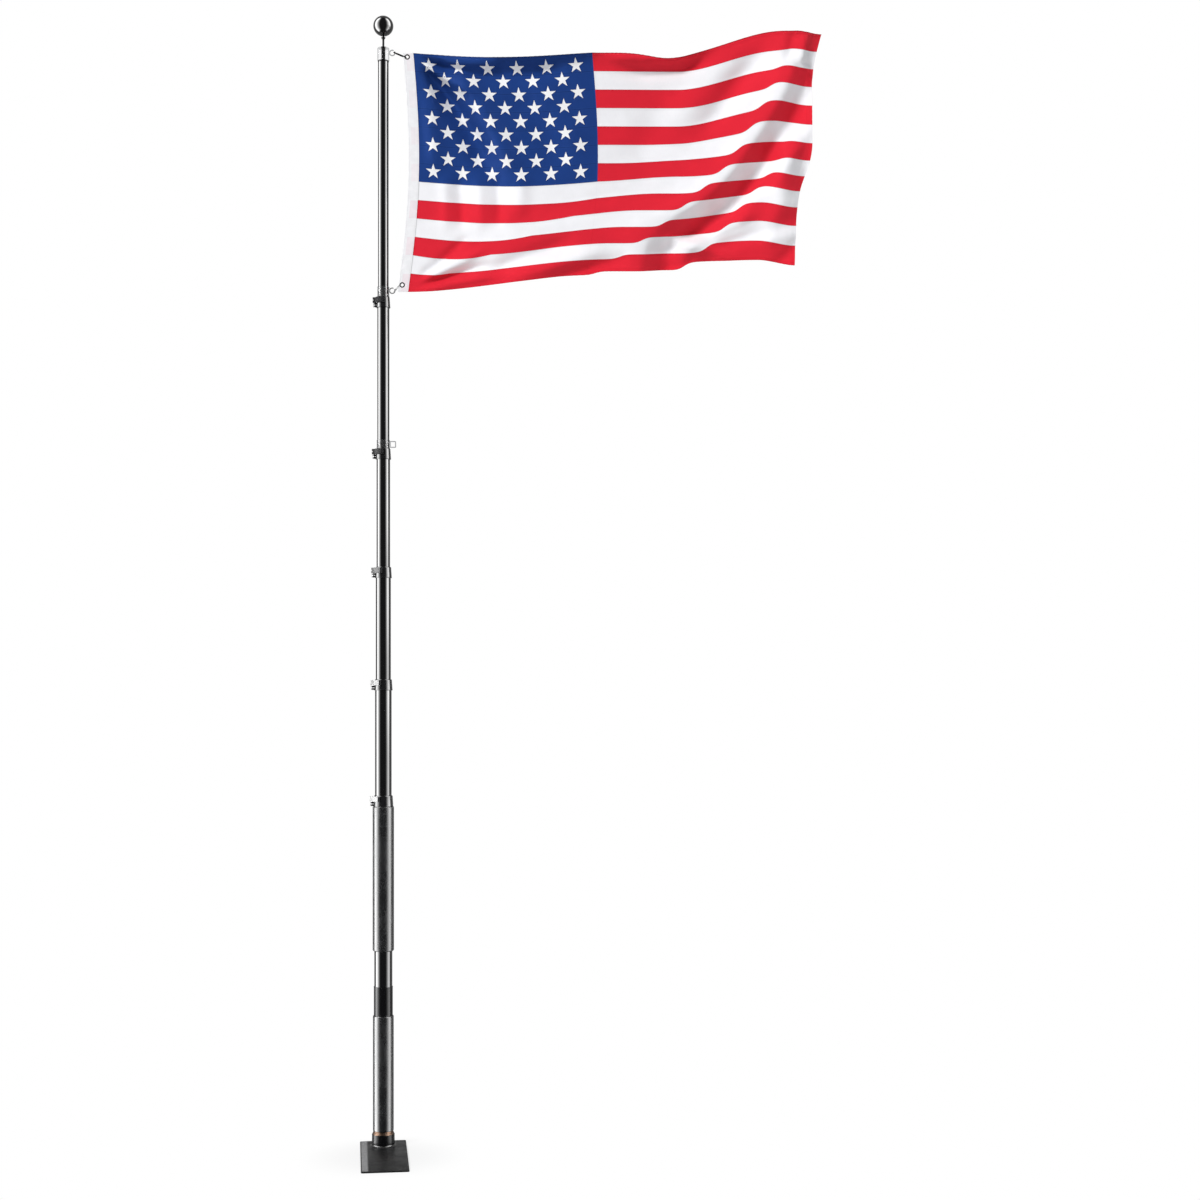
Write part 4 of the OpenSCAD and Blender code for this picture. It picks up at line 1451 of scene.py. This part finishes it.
def cloth_points(u, v, fold_depth=1.0):
    """Places of the cloth in the row frame, in metres: u from the hoist to the fly edge, v down the hoist."""
    hoist = HOIST_LINE - HOIST_RAKE * v + HOIST_BOW * np.sin(np.pi * np.clip(v, 0, 1))
    seam = hoist + CANTON_WIDTH
    edge = through(FLY_EDGE, v)
    x = np.where(
        u < CANTON_SHARE,
        hoist + CANTON_WIDTH * u / CANTON_SHARE,
        seam + (edge - seam) * (u - CANTON_SHARE) / (1 - CANTON_SHARE),
    )
    lift = row_lift(u, v)
    for first, shift, lateness, rises in GATHERS:
        place = first - shift * np.clip(v, 0, 1) ** lateness
        lift += through(rises, v) * (0.5 + 0.5 * np.tanh((u - place) / GATHER_WIDTH))
    z = TOP_Z - DROP * v + lift
    at_hoist = eased((x - hoist) / 60)
    depth = fold_depth * at_hoist * cloth_depth(x - HOIST_LINE, TOP_Z - z)
    z = z - SAG * depth
    along, front, up = fly_axes()
    places = x[:, None] * along + depth[:, None] * front + z[:, None] * up
    return places * MM


def cloth_normals(u, v, fold_depth):
    """Unit normals of the cloth towards its front."""
    step = 0.0008
    over = cloth_points(u + step, v, fold_depth) - cloth_points(u - step, v, fold_depth)
    down = cloth_points(u, v + step, fold_depth) - cloth_points(u, v - step, fold_depth)
    normal = np.cross(down, over)
    normal /= np.linalg.norm(normal, axis=1)[:, None]
    front = fly_axes()[1]
    return normal * np.sign(normal @ front)[:, None]


def sheet_mesh(name, front, back, columns, rows, flat):
    """Closed sheet from two grids of points, with its flat cut as UVs in metres."""
    count = columns * rows
    index = np.arange(count).reshape(rows, columns)
    quads = np.stack([index[:-1, :-1], index[:-1, 1:], index[1:, 1:], index[1:, :-1]], -1).reshape(-1, 4)
    rim = np.concatenate([index[0, :], index[1:, -1], index[-1, -2::-1], index[-2:0:-1, 0]])
    sides = np.stack([rim, np.roll(rim, -1), np.roll(rim, -1) + count, rim + count], -1)
    faces = np.concatenate([quads[:, ::-1], quads + count, sides])
    mesh = bpy.data.meshes.new(name)
    mesh.from_pydata(np.concatenate([front, back]), [], faces.tolist())
    layer = mesh.uv_layers.new(name="Flat")
    corners = np.zeros(len(mesh.loops), np.int32)
    mesh.loops.foreach_get("vertex_index", corners)
    layer.data.foreach_set("uv", np.tile(flat, (2, 1))[corners].astype(np.float32).ravel())
    return mesh


def even_rows(breaks, spacing):
    """Places from the first break to the last, through each one, no further apart than spacing."""
    places = [breaks[0]]
    for a, b in zip(breaks, breaks[1:]):
        count = max(1, math.ceil((b - a) / spacing))
        places += [a + (b - a) * (k + 1) / count for k in range(count)]
    return np.array(places)


def hang(piece):
    """Gives the cloth piece its own copy of its mesh."""
    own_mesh(piece)


def nylon_material(name, colour, thread, seams):
    """Woven nylon with stitched seams, with painted shade along the stripes' seams and near the top and hoist
    edges. seams are pairs: level or not, and the place of the row.
    """
    material, tree, shader, _ = start_material(name)
    flat = put(tree, "ShaderNodeUVMap", {"uv_map": "Flat"}).outputs["UV"]
    place = put(tree, "ShaderNodeSeparateXYZ", None, Vector=flat)
    weave = use(tree, weave_group(), Vector=flat, Threads=2400.0)
    mottle = noise(tree, flat, 9.0, 4.0, 0.6)
    shade = mixed(tree, ramp(tree, mottle, 0.3, 0.75), tuple(c * 0.94 for c in colour), colour)
    darker = sums(tree, "MULTIPLY", ramp(tree, weave.outputs["Slub"], 0.35, 0.75), 0.10)
    shade = mixed(tree, darker, shade, tuple(c * 0.7 for c in colour))
    stitches = None
    for level, at in seams:
        along, across = ("X", "Y") if level else ("Y", "X")
        offset = sums(tree, "SUBTRACT", place.outputs[across], at)
        row = use(tree, stitch_group(), Along=place.outputs[along], Across=offset).outputs["Mask"]
        stitches = row if stitches is None else sums(tree, "MAXIMUM", stitches, row)
    stripe = seam_stitches(tree, place.outputs["Y"])
    shade = mixed(tree, sums(tree, "MULTIPLY", seam_line(tree, place.outputs["Y"]), 0.5), shade,
                  tuple(c * 0.35 for c in colour))
    # painted shade: the colour darkens within a few millimetres of the top edge and the hoist edge
    edge = sums(tree, "MINIMUM", place.outputs["X"], place.outputs["Y"])
    shade = mixed(tree, ramp(tree, edge, 0.0015, 0.0065, 0.6, 0.0), shade, tuple(c * 0.3 for c in colour))
    stitches = stripe if stitches is None else sums(tree, "MAXIMUM", stitches, stripe)
    shade = mixed(tree, sums(tree, "MULTIPLY", stitches, 0.75), shade, thread)
    tree.links.new(shade, shader.inputs["Base Color"])
    shader.inputs["Roughness"].default_value = 0.55
    shader.inputs["Specular IOR Level"].default_value = 0.06
    height = sums(tree, "ADD", sums(tree, "MULTIPLY", weave.outputs["Height"], 0.10), stitches)
    bumped(tree, shader, height, 0.35, 0.0004)
    return material


def from_seam(tree, down):
    """Distance from the nearest stripe's seam, worked out from the height of a stripe."""
    cloth = bpy.context.scene.flagpole_cloth
    stripe = cloth.hoist / STRIPES
    beat = sums(tree, "FRACT", sums(tree, "ADD", sums(tree, "DIVIDE", down, stripe), 0.5))
    return sums(tree, "ABSOLUTE", sums(tree, "MULTIPLY", sums(tree, "SUBTRACT", beat, 0.5), stripe))


def seam_line(tree, down):
    """The fine shadow where one stripe laps the next."""
    return ramp(tree, from_seam(tree, down), 0.0003, 0.0016, 1.0, 0.0)


def seam_stitches(tree, down):
    """The two rows of stitches along every stripe's seam."""
    flat = put(tree, "ShaderNodeUVMap", {"uv_map": "Flat"}).outputs["UV"]
    along = put(tree, "ShaderNodeSeparateXYZ", None, Vector=flat).outputs["X"]
    offset = sums(tree, "SUBTRACT", from_seam(tree, down), SEAM_HALF)
    return use(tree, stitch_group(), Along=along, Across=offset).outputs["Mask"]


SEAM_HALF = 0.0028
# How far the cloth takes to fall from a seam or hem to a single layer
SEAM_SLOPE = 0.0014
SEAM_RAISE = 0.00035
HEM = 0.012
FLY_HEM = 0.024
HEADING_WIDTH = 0.038


class FLAGPOLE_OT_flag(bpy.types.Operator):
    """The sewn flag: striped cloth with felled seams and hems, and its stars"""

    bl_idname = "flagpole.flag"
    bl_label = "Flag"

    def execute(self, context):
        cloth = context.scene.flagpole_cloth
        flag, weave = self.cloth(cloth)
        stars = self.stars(cloth, weave)
        return {"FINISHED"}

    def thickness(self, cloth, s, t):
        """The cloth is doubled in its seams and hems."""
        stripe = cloth.hoist / STRIPES
        off_seam = np.abs((t / stripe + 0.5) % 1.0 - 0.5) * stripe
        seam = 1 - eased((off_seam - SEAM_HALF) / SEAM_SLOPE)
        in_canton = (s < CANTON_SHARE * cloth.fly - 0.004) & (t < CANTON_STRIPES * stripe - 0.004)
        seam = np.where(in_canton, 0.0, seam)
        upright = np.abs(s - CANTON_SHARE * cloth.fly)
        beside = (1 - eased((upright - SEAM_HALF) / SEAM_SLOPE)) * (t < CANTON_STRIPES * stripe)
        edge = np.minimum(t, cloth.hoist - t)
        hem = 1 - eased((edge - HEM) / SEAM_SLOPE)
        fly = 1 - eased((cloth.fly - s - FLY_HEM) / SEAM_SLOPE)
        raised = np.maximum.reduce([seam, beside, hem, fly])
        return cloth.thickness / 2 + SEAM_RAISE * raised

    def pucker(self, cloth, s, t):
        """Small gathers that the stitching pulls into the hems."""
        edge = np.minimum(t, cloth.hoist - t)
        along = np.sin(2 * np.pi * s / 0.019 + 2.0 * np.sin(s * 23)) * np.exp(-edge / 0.010)
        beside = np.sin(2 * np.pi * t / 0.017 + 2.0 * np.sin(t * 31)) * np.exp(-(cloth.fly - s) / 0.014)
        return 0.0005 * (along + beside)

    def cloth(self, cloth):
        """Closed thin sheet, with faces sorted into red, white and blue by stripe."""
        stripe = cloth.hoist / STRIPES
        seam = CANTON_SHARE * cloth.fly
        down = [0.0, HEM, HEM + SEAM_SLOPE]
        for k in range(1, STRIPES):
            down += [k * stripe + d for d in (-SEAM_HALF - SEAM_SLOPE, -SEAM_HALF, 0.0, SEAM_HALF,
                                              SEAM_HALF + SEAM_SLOPE)]
        down += [cloth.hoist - HEM - SEAM_SLOPE, cloth.hoist - HEM, cloth.hoist]
        over = [0.0, seam - SEAM_HALF - SEAM_SLOPE, seam - SEAM_HALF, seam, seam + SEAM_HALF,
                seam + SEAM_HALF + SEAM_SLOPE,
                cloth.fly - FLY_HEM - SEAM_SLOPE, cloth.fly - FLY_HEM, cloth.fly]
        t_places = even_rows(down, 0.0085)
        s_places = even_rows(over, 0.0074)
        s, t = (grid.ravel() for grid in np.meshgrid(s_places, t_places))
        u, v = s / cloth.fly, t / cloth.hoist
        middle = cloth_points(u, v, cloth.fold_depth)
        normal = cloth_normals(u, v, cloth.fold_depth)
        middle = middle + normal * self.pucker(cloth, s, t)[:, None]
        half = self.thickness(cloth, s, t)[:, None]
        flat = np.stack([s, t], -1)
        columns, rows = len(s_places), len(t_places)
        mesh = sheet_mesh("flag_cloth", middle + normal * half, middle - normal * half, columns, rows, flat)
        row_stripe = np.floor((t_places[:-1] + t_places[1:]) / 2 / stripe).astype(int)
        column_canton = (s_places[:-1] + s_places[1:]) / 2 < seam
        colour = np.repeat((row_stripe % 2)[:, None], columns - 1, axis=1)
        colour[np.ix_(row_stripe < CANTON_STRIPES, column_canton)] = 2
        colour = colour.ravel()
        rim_rows = self.rim_colours(row_stripe, columns)
        mesh.polygons.foreach_set("material_index",
                                  np.concatenate([colour, colour, rim_rows]).astype(np.int32))
        flag = new_piece("flag_sheet", mesh, 70.0)
        hems = [(False, seam - 0.0025), (False, 0.005), (True, HEM * 0.85), (True, cloth.hoist - HEM * 0.85)]
        hems += [(False, cloth.fly - inset) for inset in (0.004, 0.010, 0.016, 0.022)]
        red = nylon_material("Red nylon", tuple(cloth.red), (0.55, 0.01, 0.02), hems)
        white = nylon_material("White nylon", tuple(cloth.white), (0.78, 0.78, 0.80), hems)
        blue = nylon_material("Blue nylon", tuple(cloth.blue), (0.02, 0.06, 0.24), hems)
        settle(flag, "flag", "flag_cloth", red, white, blue)
        hang(flag)
        shape = (rows, columns, 3)
        return flag, (s_places, t_places, middle.reshape(shape), normal.reshape(shape))

    def on_cloth(self, weave, flat):
        """Places and normals on the cloth's own facets, for places in its flat cut."""
        s_places, t_places, middle, normal = weave
        i = np.clip(np.searchsorted(s_places, flat[:, 0]) - 1, 0, len(s_places) - 2)
        j = np.clip(np.searchsorted(t_places, flat[:, 1]) - 1, 0, len(t_places) - 2)
        a = ((flat[:, 0] - s_places[i]) / (s_places[i + 1] - s_places[i]))[:, None]
        b = ((flat[:, 1] - t_places[j]) / (t_places[j + 1] - t_places[j]))[:, None]
        found = []
        for grid in (middle, normal):
            upper = grid[j, i] * (1 - a) + grid[j, i + 1] * a
            lower = grid[j + 1, i] * (1 - a) + grid[j + 1, i + 1] * a
            found.append(upper * (1 - b) + lower * b)
        return found

    def rim_colours(self, row_stripe, columns):
        """Colour of each rim face: along the top, down the fly, back along the foot and up the hoist."""
        top = [2 if k / (columns - 1) < CANTON_SHARE else 0 for k in range(columns - 1)]
        fly = [k % 2 for k in row_stripe]
        foot = [0] * (columns - 1)
        hoist = [2 if k < CANTON_STRIPES else k % 2 for k in reversed(row_stripe)]
        return np.array(top + fly + foot + hoist)

    def star_outline(self, radius):
        """Five-pointed star about its middle, one point up, its sides broken into short steps."""
        inner = radius * math.cos(math.radians(72)) / math.cos(math.radians(36))
        corners = []
        for k in range(10):
            r = radius if k % 2 == 0 else inner
            a = math.radians(-90 + 36 * k)
            corners.append(np.array((r * math.cos(a), r * math.sin(a))))
        points = []
        for a, b in zip(corners, corners[1:] + corners[:1]):
            points += [a + (b - a) * k / 5 for k in range(5)]
        return np.array(points)

    def stars(self, cloth, weave):
        """Embroidered stars on both faces, each a flat field inside a raised border and ringed by a navy band
        of painted shadow.
        """
        canton_w, canton_h = CANTON_SHARE * cloth.fly, CANTON_STRIPES * cloth.hoist / STRIPES
        outline = self.star_outline(cloth.star / 2)
        first_over, next_over, first_down, next_down = 0.083, 0.0821, 0.088, 0.1030
        # share of the way out from the middle, and height above the cloth in millimetres
        rings = [(0.0, 0.5), (0.3, 0.5), (0.6, 0.5), (0.8, 0.55), (0.86, 0.95), (0.94, 1.0), (1.0, 0.6),
                 (1.02, 0.3), (1.09, 0.25), (1.10, -0.1)]
        # rings from this one outward form a navy band of painted shadow round each star
        painted_shadow_from = 7
        flats, lifts, faces, sides, painted_shadow_faces = [], [], [], [], []
        count = len(outline)
        for face in (1, -1):
            for row in range(9):
                for column in range(row % 2, 11, 2):
                    centre = np.array((
                        (first_over + column * next_over) * canton_w,
                        (first_down + row * next_down) * canton_h
                    ))
                    base = sum(len(f) for f in flats)
                    flats.append(centre[None, :])
                    lifts.append(np.array([rings[0][1]]))
                    for share, lift in rings[1:]:
                        flats.append(centre + outline * share)
                        lifts.append(np.full(count, lift))
                    sides.append(np.full(1 + count * (len(rings) - 1), face))
                    for k in range(count):
                        j = (k + 1) % count
                        ring = [(base, base + 1 + k, base + 1 + j)]
                        for r in range(len(rings) - 2):
                            a, b = base + 1 + r * count, base + 1 + (r + 1) * count
                            ring.append((a + k, b + k, b + j, a + j))
                        painted_shadow_faces += [r >= painted_shadow_from for r in range(len(rings) - 1)]
                        faces += [f if face < 0 else tuple(reversed(f)) for f in ring]
        flat, lift, side = np.concatenate(flats), np.concatenate(lifts) * MM, np.concatenate(sides)
        middle, normal = self.on_cloth(weave, flat)
        places = middle + normal * (side * (cloth.thickness / 2 + lift))[:, None]
        mesh = bpy.data.meshes.new("stars")
        mesh.from_pydata(places, [], faces)
        layer = mesh.uv_layers.new(name="Flat")
        corners = np.zeros(len(mesh.loops), np.int32)
        mesh.loops.foreach_get("vertex_index", corners)
        layer.data.foreach_set("uv", flat[corners].astype(np.float32).ravel())
        piece = new_piece("embroidered_stars", mesh, 60.0)
        piece.data.materials.append(self.thread_material("Star thread", (0.84, 0.84, 0.86),
                                                         (0.93, 0.93, 0.94)))
        # navy material of the painted shadow ring
        piece.data.materials.append(self.thread_material("Star painted shadow ring", (0.004, 0.012, 0.06),
                                                         (0.009, 0.022, 0.10)))
        piece.data.polygons.foreach_set("material_index", np.array(painted_shadow_faces, np.int32))
        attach(piece, BODY_OF["flag"])
        hang(piece)
        return piece

    def thread_material(self, name, darker, lighter):
        """Satin stitch: close bright threads laid side by side."""
        material, tree, shader, _ = start_material(name)
        flat = put(tree, "ShaderNodeUVMap", {"uv_map": "Flat"}).outputs["UV"]
        threads = noise(tree, stretched(tree, flat, (350.0, 2600.0, 1.0)), 1.0, 2.0)
        shade = mixed(tree, ramp(tree, threads, 0.3, 0.7), darker, lighter)
        tree.links.new(shade, shader.inputs["Base Color"])
        shader.inputs["Roughness"].default_value = 0.45
        shader.inputs["Specular IOR Level"].default_value = 0.1
        bumped(tree, shader, threads, 0.3, 0.0003)
        return material


class FLAGPOLE_OT_heading(bpy.types.Operator):
    """Canvas heading sewn along the hoist, with a hole for each eyelet"""

    bl_idname = "flagpole.heading"
    bl_label = "Heading"

    def execute(self, context):
        cloth = context.scene.flagpole_cloth
        piece = self.band(cloth)
        material = self.canvas(cloth)
        settle(piece, "heading", "heading_cloth", material)
        hang(piece)
        return {"FINISHED"}

    def band(self, cloth):
        """Doubled canvas: its free edge folded round, its other edge lapped over the cloth."""
        width, lap = HEADING_WIDTH, 0.0015
        columns = even_rows([0.0, 0.0012, 0.004, width, width + lap], 0.0042)
        rows = even_rows([0.0, 0.002, cloth.hoist - 0.002, cloth.hoist], 0.0075)
        a, t = (grid.ravel() for grid in np.meshgrid(columns, rows))
        v = t / cloth.hoist
        hoist = cloth_points(np.zeros(len(v)), v)
        along, front, _ = fly_axes()
        ahead = cloth_points(np.clip((a - width) / cloth.fly, 0, 1), v, cloth.fold_depth)
        behind = hoist + (a - width)[:, None] * along
        middle = np.where((a < width)[:, None], behind, ahead)
        ripple = 0.0003 * np.sin(2 * np.pi * t / 0.13 + 1.0) * (1 - a / (width + lap))
        middle = middle + ripple[:, None] * front
        edge = np.minimum(a / 0.0012, 1.0)
        ends = np.minimum(np.minimum(t, cloth.hoist - t) / 0.002, 1.0)
        fold = 0.25 + 0.75 * np.sqrt(np.clip(edge * (2 - edge), 0, 1))
        half = 0.0008 * fold * (0.5 + 0.5 * ends)
        flat = np.stack([a, t], -1)
        mesh = sheet_mesh(
            "heading", middle + half[:, None] * front, middle - half[:, None] * front, len(columns),
            len(rows), flat
        )
        body = new_piece("heading_blank", mesh)
        holes = []
        for end in ("upper", "lower"):
            centre = node_middle(f"{end}_grommet")
            turn = Matrix.Translation(centre) @ fly_matrix() @ Matrix.Rotation(math.pi / 2, 4, "X")
            outline = [(0, -0.02), (0.0066, -0.02), (0.0066, 0.02), (0, 0.02)]
            holes.append(solid("hole", lambda bm: spin(bm, outline, 40, turn=turn)))
        piece = combined("heading_band", body, (), holes)
        return piece

    def canvas(self, cloth):
        """Coarse white canvas with stitched edges; the red stripes' ends show faintly through it."""
        material, tree, shader, _ = start_material("Heading canvas")
        flat = put(tree, "ShaderNodeUVMap", {"uv_map": "Flat"}).outputs["UV"]
        place = put(tree, "ShaderNodeSeparateXYZ", None, Vector=flat)
        weave = use(tree, weave_group(), Vector=flat, Threads=1500.0)
        stripe = cloth.hoist / STRIPES
        beat = sums(tree, "FRACT", sums(tree, "DIVIDE", place.outputs["Y"], 2 * stripe))
        red_end = sums(tree, "MULTIPLY", ramp(tree, beat, 0.0, 0.02), ramp(tree, beat, 0.48, 0.5, 1.0, 0.0))
        below = ramp(tree, place.outputs["Y"], CANTON_STRIPES * stripe - 0.001, CANTON_STRIPES * stripe)
        inside = ramp(tree, place.outputs["X"], 0.010, 0.012)
        through_share = sums(tree, "MULTIPLY", sums(tree, "MULTIPLY", red_end, inside), 0.16)
        through_share = sums(tree, "MULTIPLY", through_share,
                             sums(tree, "ADD", sums(tree, "MULTIPLY", below, 0.5), 0.5))
        mottle = noise(tree, flat, 30.0, 4.0, 0.6)
        shade = mixed(tree, ramp(tree, mottle, 0.3, 0.75), (0.83, 0.83, 0.85), (0.90, 0.90, 0.92))
        shade = mixed(tree, through_share, shade, (0.80, 0.30, 0.40))
        stitches = None
        for at in (0.003, HEADING_WIDTH - 0.003, HEADING_WIDTH + 0.003):
            offset = sums(tree, "SUBTRACT", place.outputs["X"], at)
            row = use(tree, stitch_group(), Along=place.outputs["Y"], Across=offset).outputs["Mask"]
            stitches = row if stitches is None else sums(tree, "MAXIMUM", stitches, row)
        shade = mixed(tree, sums(tree, "MULTIPLY", stitches, 0.6), shade, (0.62, 0.62, 0.63))
        tree.links.new(shade, shader.inputs["Base Color"])
        shader.inputs["Roughness"].default_value = 0.75
        shader.inputs["Specular IOR Level"].default_value = 0.25
        height = sums(tree, "ADD", sums(tree, "MULTIPLY", weave.outputs["Height"], 0.35), stitches)
        bumped(tree, shader, height, 0.4, 0.0005)
        return material


# ---------------------------------------------------------------- studio


class FLAGPOLE_OT_stage(bpy.types.Operator):
    """Camera, floor, soft key lamp and the white surround"""

    bl_idname = "flagpole.stage"
    bl_label = "Stage"

    def execute(self, context):
        studio = context.scene.flagpole_studio
        self.camera(context.scene, studio)
        self.floor()
        self.key(studio)
        self.surround(context.scene, studio)
        context.scene.view_settings.view_transform = "Standard"
        return {"FINISHED"}

    def camera(self, scene, studio):
        """Level camera square to the flag, at head height."""
        along, front, _ = (Vector(axis) for axis in fly_axes())
        data = bpy.data.cameras.new("camera")
        data.lens = studio.lens
        data.sensor_width = 36.0
        data.shift_y = 0.0625
        data.clip_end = 100.0
        camera = bpy.data.objects.new("camera", data)
        camera.location = front * studio.distance + along * studio.aside + Vector((0, 0, studio.height))
        camera.rotation_euler = (-front).to_track_quat("-Z", "Y").to_euler()
        scene.collection.objects.link(camera)
        scene.camera = camera

    def floor(self):
        """Pale floor that keeps a soft shadow round the plate and runs out to white."""
        bm = bmesh.new()
        bmesh.ops.create_circle(bm, cap_ends=True, segments=96, radius=14.0)
        floor = piece_from_bmesh("floor", bm)
        floor.location.z = -0.0005
        material = bpy.data.materials.new("Floor")
        material.use_nodes = True
        tree = material.node_tree
        shader = tree.nodes["Principled BSDF"]
        shader.inputs["Base Color"].default_value = (0.97, 0.97, 0.97, 1)
        shader.inputs["Roughness"].default_value = 0.9
        shader.inputs["Specular IOR Level"].default_value = 0.0
        place = tree.nodes.new("ShaderNodeTexCoord").outputs["Object"]
        middle = put(tree, "ShaderNodeVectorMath", {"operation": "SUBTRACT"})
        tree.links.new(place, middle.inputs[0])
        low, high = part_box("base_plate")
        middle.inputs[1].default_value = ((low.x + high.x) / 2, (low.y + high.y) / 2, 0)
        out = put(tree, "ShaderNodeVectorMath", {"operation": "LENGTH"})
        tree.links.new(middle.outputs[0], out.inputs[0])
        white = put(tree, "ShaderNodeEmission", None, Strength=1.0)
        share = ramp(tree, out.outputs["Value"], 0.10, 0.34, 0.70, 1.0)
        blend = tree.nodes.new("ShaderNodeMixShader")
        tree.links.new(share, blend.inputs[0])
        tree.links.new(shader.outputs[0], blend.inputs[1])
        tree.links.new(white.outputs[0], blend.inputs[2])
        seen = tree.nodes.new("ShaderNodeLightPath")
        camera_only = tree.nodes.new("ShaderNodeMixShader")
        tree.links.new(seen.outputs["Is Camera Ray"], camera_only.inputs[0])
        tree.links.new(shader.outputs[0], camera_only.inputs[1])
        tree.links.new(blend.outputs[0], camera_only.inputs[2])
        tree.links.new(camera_only.outputs[0], tree.nodes["Material Output"].inputs["Surface"])
        floor.data.materials.append(material)
        floor.visible_glossy = False

    def key(self, studio):
        """Soft lamp from the upper left of the front."""
        along, front, up = (Vector(axis) for axis in fly_axes())
        data = bpy.data.lights.new("key", "SUN")
        data.energy = studio.key
        data.angle = math.radians(15)
        lamp = bpy.data.objects.new("key", data)
        lamp.rotation_euler = (front * 0.72 - along * 0.56 + up * 0.62).to_track_quat("Z", "Y").to_euler()
        lamp.visible_glossy = False
        bpy.context.scene.collection.objects.link(lamp)

    def surround(self, scene, studio):
        """White background, an even fill, and for gloss a pale back wall with a tall softbox on each side."""
        world = bpy.data.worlds.new("studio")
        scene.world = world
        world.use_nodes = True
        world.cycles.sampling_method = "NONE"
        tree = world.node_tree
        tree.nodes.clear()
        leave = tree.nodes.new("ShaderNodeOutputWorld")
        way = tree.nodes.new("ShaderNodeTexCoord").outputs["Generated"]
        up = put(tree, "ShaderNodeSeparateXYZ", None, Vector=way).outputs["Z"]
        along, front, _ = fly_axes()
        side = self.dot(tree, way, along)
        ahead = self.dot(tree, way, front)
        # degrees round from the front, positive to the fly's side
        turn = sums(tree, "MULTIPLY", sums(tree, "ARCTAN2", side, ahead), 180 / math.pi)
        tall = sums(tree, "MULTIPLY", ramp(tree, up, -0.88, -0.70), ramp(tree, up, 0.86, 0.99, 1.0, 0.0))
        left = self.softbox(tree, sums(tree, "MULTIPLY", turn, -1.0), 26.0, 88.0, 109.0, studio.left_strip)
        right = self.softbox(tree, turn, 30.0, 84.0, 104.0, studio.right_strip)
        right = sums(tree, "MULTIPLY", right, ramp(tree, up, -0.06, 0.14, 1.0, 1.7))
        strips = sums(tree, "MULTIPLY", sums(tree, "ADD", left, right), tall)
        back = ramp(tree, sums(tree, "ABSOLUTE", turn), 70.0, 125.0, 0.06, 0.5)
        glossy = put(tree, "ShaderNodeBackground", None, Strength=sums(tree, "ADD", back, strips))
        fill = put(tree, "ShaderNodeBackground", None, Color=(0.985, 0.99, 1.0, 1.0), Strength=studio.fill)
        white = put(tree, "ShaderNodeBackground", None, Color=(1.0, 1.0, 1.0, 1.0), Strength=1.0)
        rays = tree.nodes.new("ShaderNodeLightPath")
        first = tree.nodes.new("ShaderNodeMixShader")
        tree.links.new(rays.outputs["Is Glossy Ray"], first.inputs[0])
        tree.links.new(fill.outputs[0], first.inputs[1])
        tree.links.new(glossy.outputs[0], first.inputs[2])
        second = tree.nodes.new("ShaderNodeMixShader")
        seen = sums(tree, "MAXIMUM", rays.outputs["Is Camera Ray"], rays.outputs["Is Transmission Ray"])
        tree.links.new(seen, second.inputs[0])
        tree.links.new(first.outputs[0], second.inputs[1])
        tree.links.new(white.outputs[0], second.inputs[2])
        tree.links.new(second.outputs[0], leave.inputs["Surface"])

    def dot(self, tree, way, axis):
        """Share of a direction along an axis."""
        made = put(tree, "ShaderNodeVectorMath", {"operation": "DOT_PRODUCT"})
        tree.links.new(way, made.inputs[0])
        made.inputs[1].default_value = tuple(axis)
        return made.outputs["Value"]

    def softbox(self, tree, turn, start, peak, end, strength):
        """Tall lamp that brightens smoothly from start to peak, in degrees round, and ends softly past it."""
        rise = sums(tree, "POWER", ramp(tree, turn, start, peak), 1.6)
        fall = ramp(tree, turn, peak + 4.0, end, 1.0, 0.0)
        return sums(tree, "MULTIPLY", sums(tree, "MULTIPLY", rise, fall), strength)


# ---------------------------------------------------------------- panel and main


class FLAGPOLE_PT_panel(bpy.types.Panel):
    """Sizes, finishes and the pieces in the order they are built"""

    bl_label = "Flagpole"
    bl_idname = "FLAGPOLE_PT_panel"
    bl_space_type = "VIEW_3D"
    bl_region_type = "UI"
    bl_category = "Flagpole"

    def draw(self, context):
        scene = context.scene
        for settings in (scene.flagpole_finishes, scene.flagpole_cloth, scene.flagpole_studio):
            box = self.layout.box()
            for name in settings.__annotations__:
                box.prop(settings, name)
        for operator in OPERATORS:
            self.layout.operator(operator.bl_idname)


OPERATORS = (
    FLAGPOLE_OT_stage,
    FLAGPOLE_OT_base,
    FLAGPOLE_OT_grips,
    FLAGPOLE_OT_tubes,
    FLAGPOLE_OT_clamps,
    FLAGPOLE_OT_finial,
    FLAGPOLE_OT_rings,
    FLAGPOLE_OT_links,
    FLAGPOLE_OT_heading,
    FLAGPOLE_OT_flag,
)
SETTINGS = (FlagpoleFinishes, FlagpoleCloth, FlagpoleStudio)
CLASSES = (*SETTINGS, *OPERATORS, FLAGPOLE_PT_panel)


def register():
    for item in CLASSES:
        bpy.utils.register_class(item)
    bpy.types.Scene.flagpole_finishes = PointerProperty(type=FlagpoleFinishes)
    bpy.types.Scene.flagpole_cloth = PointerProperty(type=FlagpoleCloth)
    bpy.types.Scene.flagpole_studio = PointerProperty(type=FlagpoleStudio)


def unregister():
    del bpy.types.Scene.flagpole_studio
    del bpy.types.Scene.flagpole_cloth
    del bpy.types.Scene.flagpole_finishes
    for item in reversed(CLASSES):
        bpy.utils.unregister_class(item)


def main():
    """Builds every piece in order."""
    register()
    for operator in OPERATORS:
        family, name = operator.bl_idname.split(".")
        getattr(getattr(bpy.ops, family), name)()


if __name__ == "__main__":
    main()
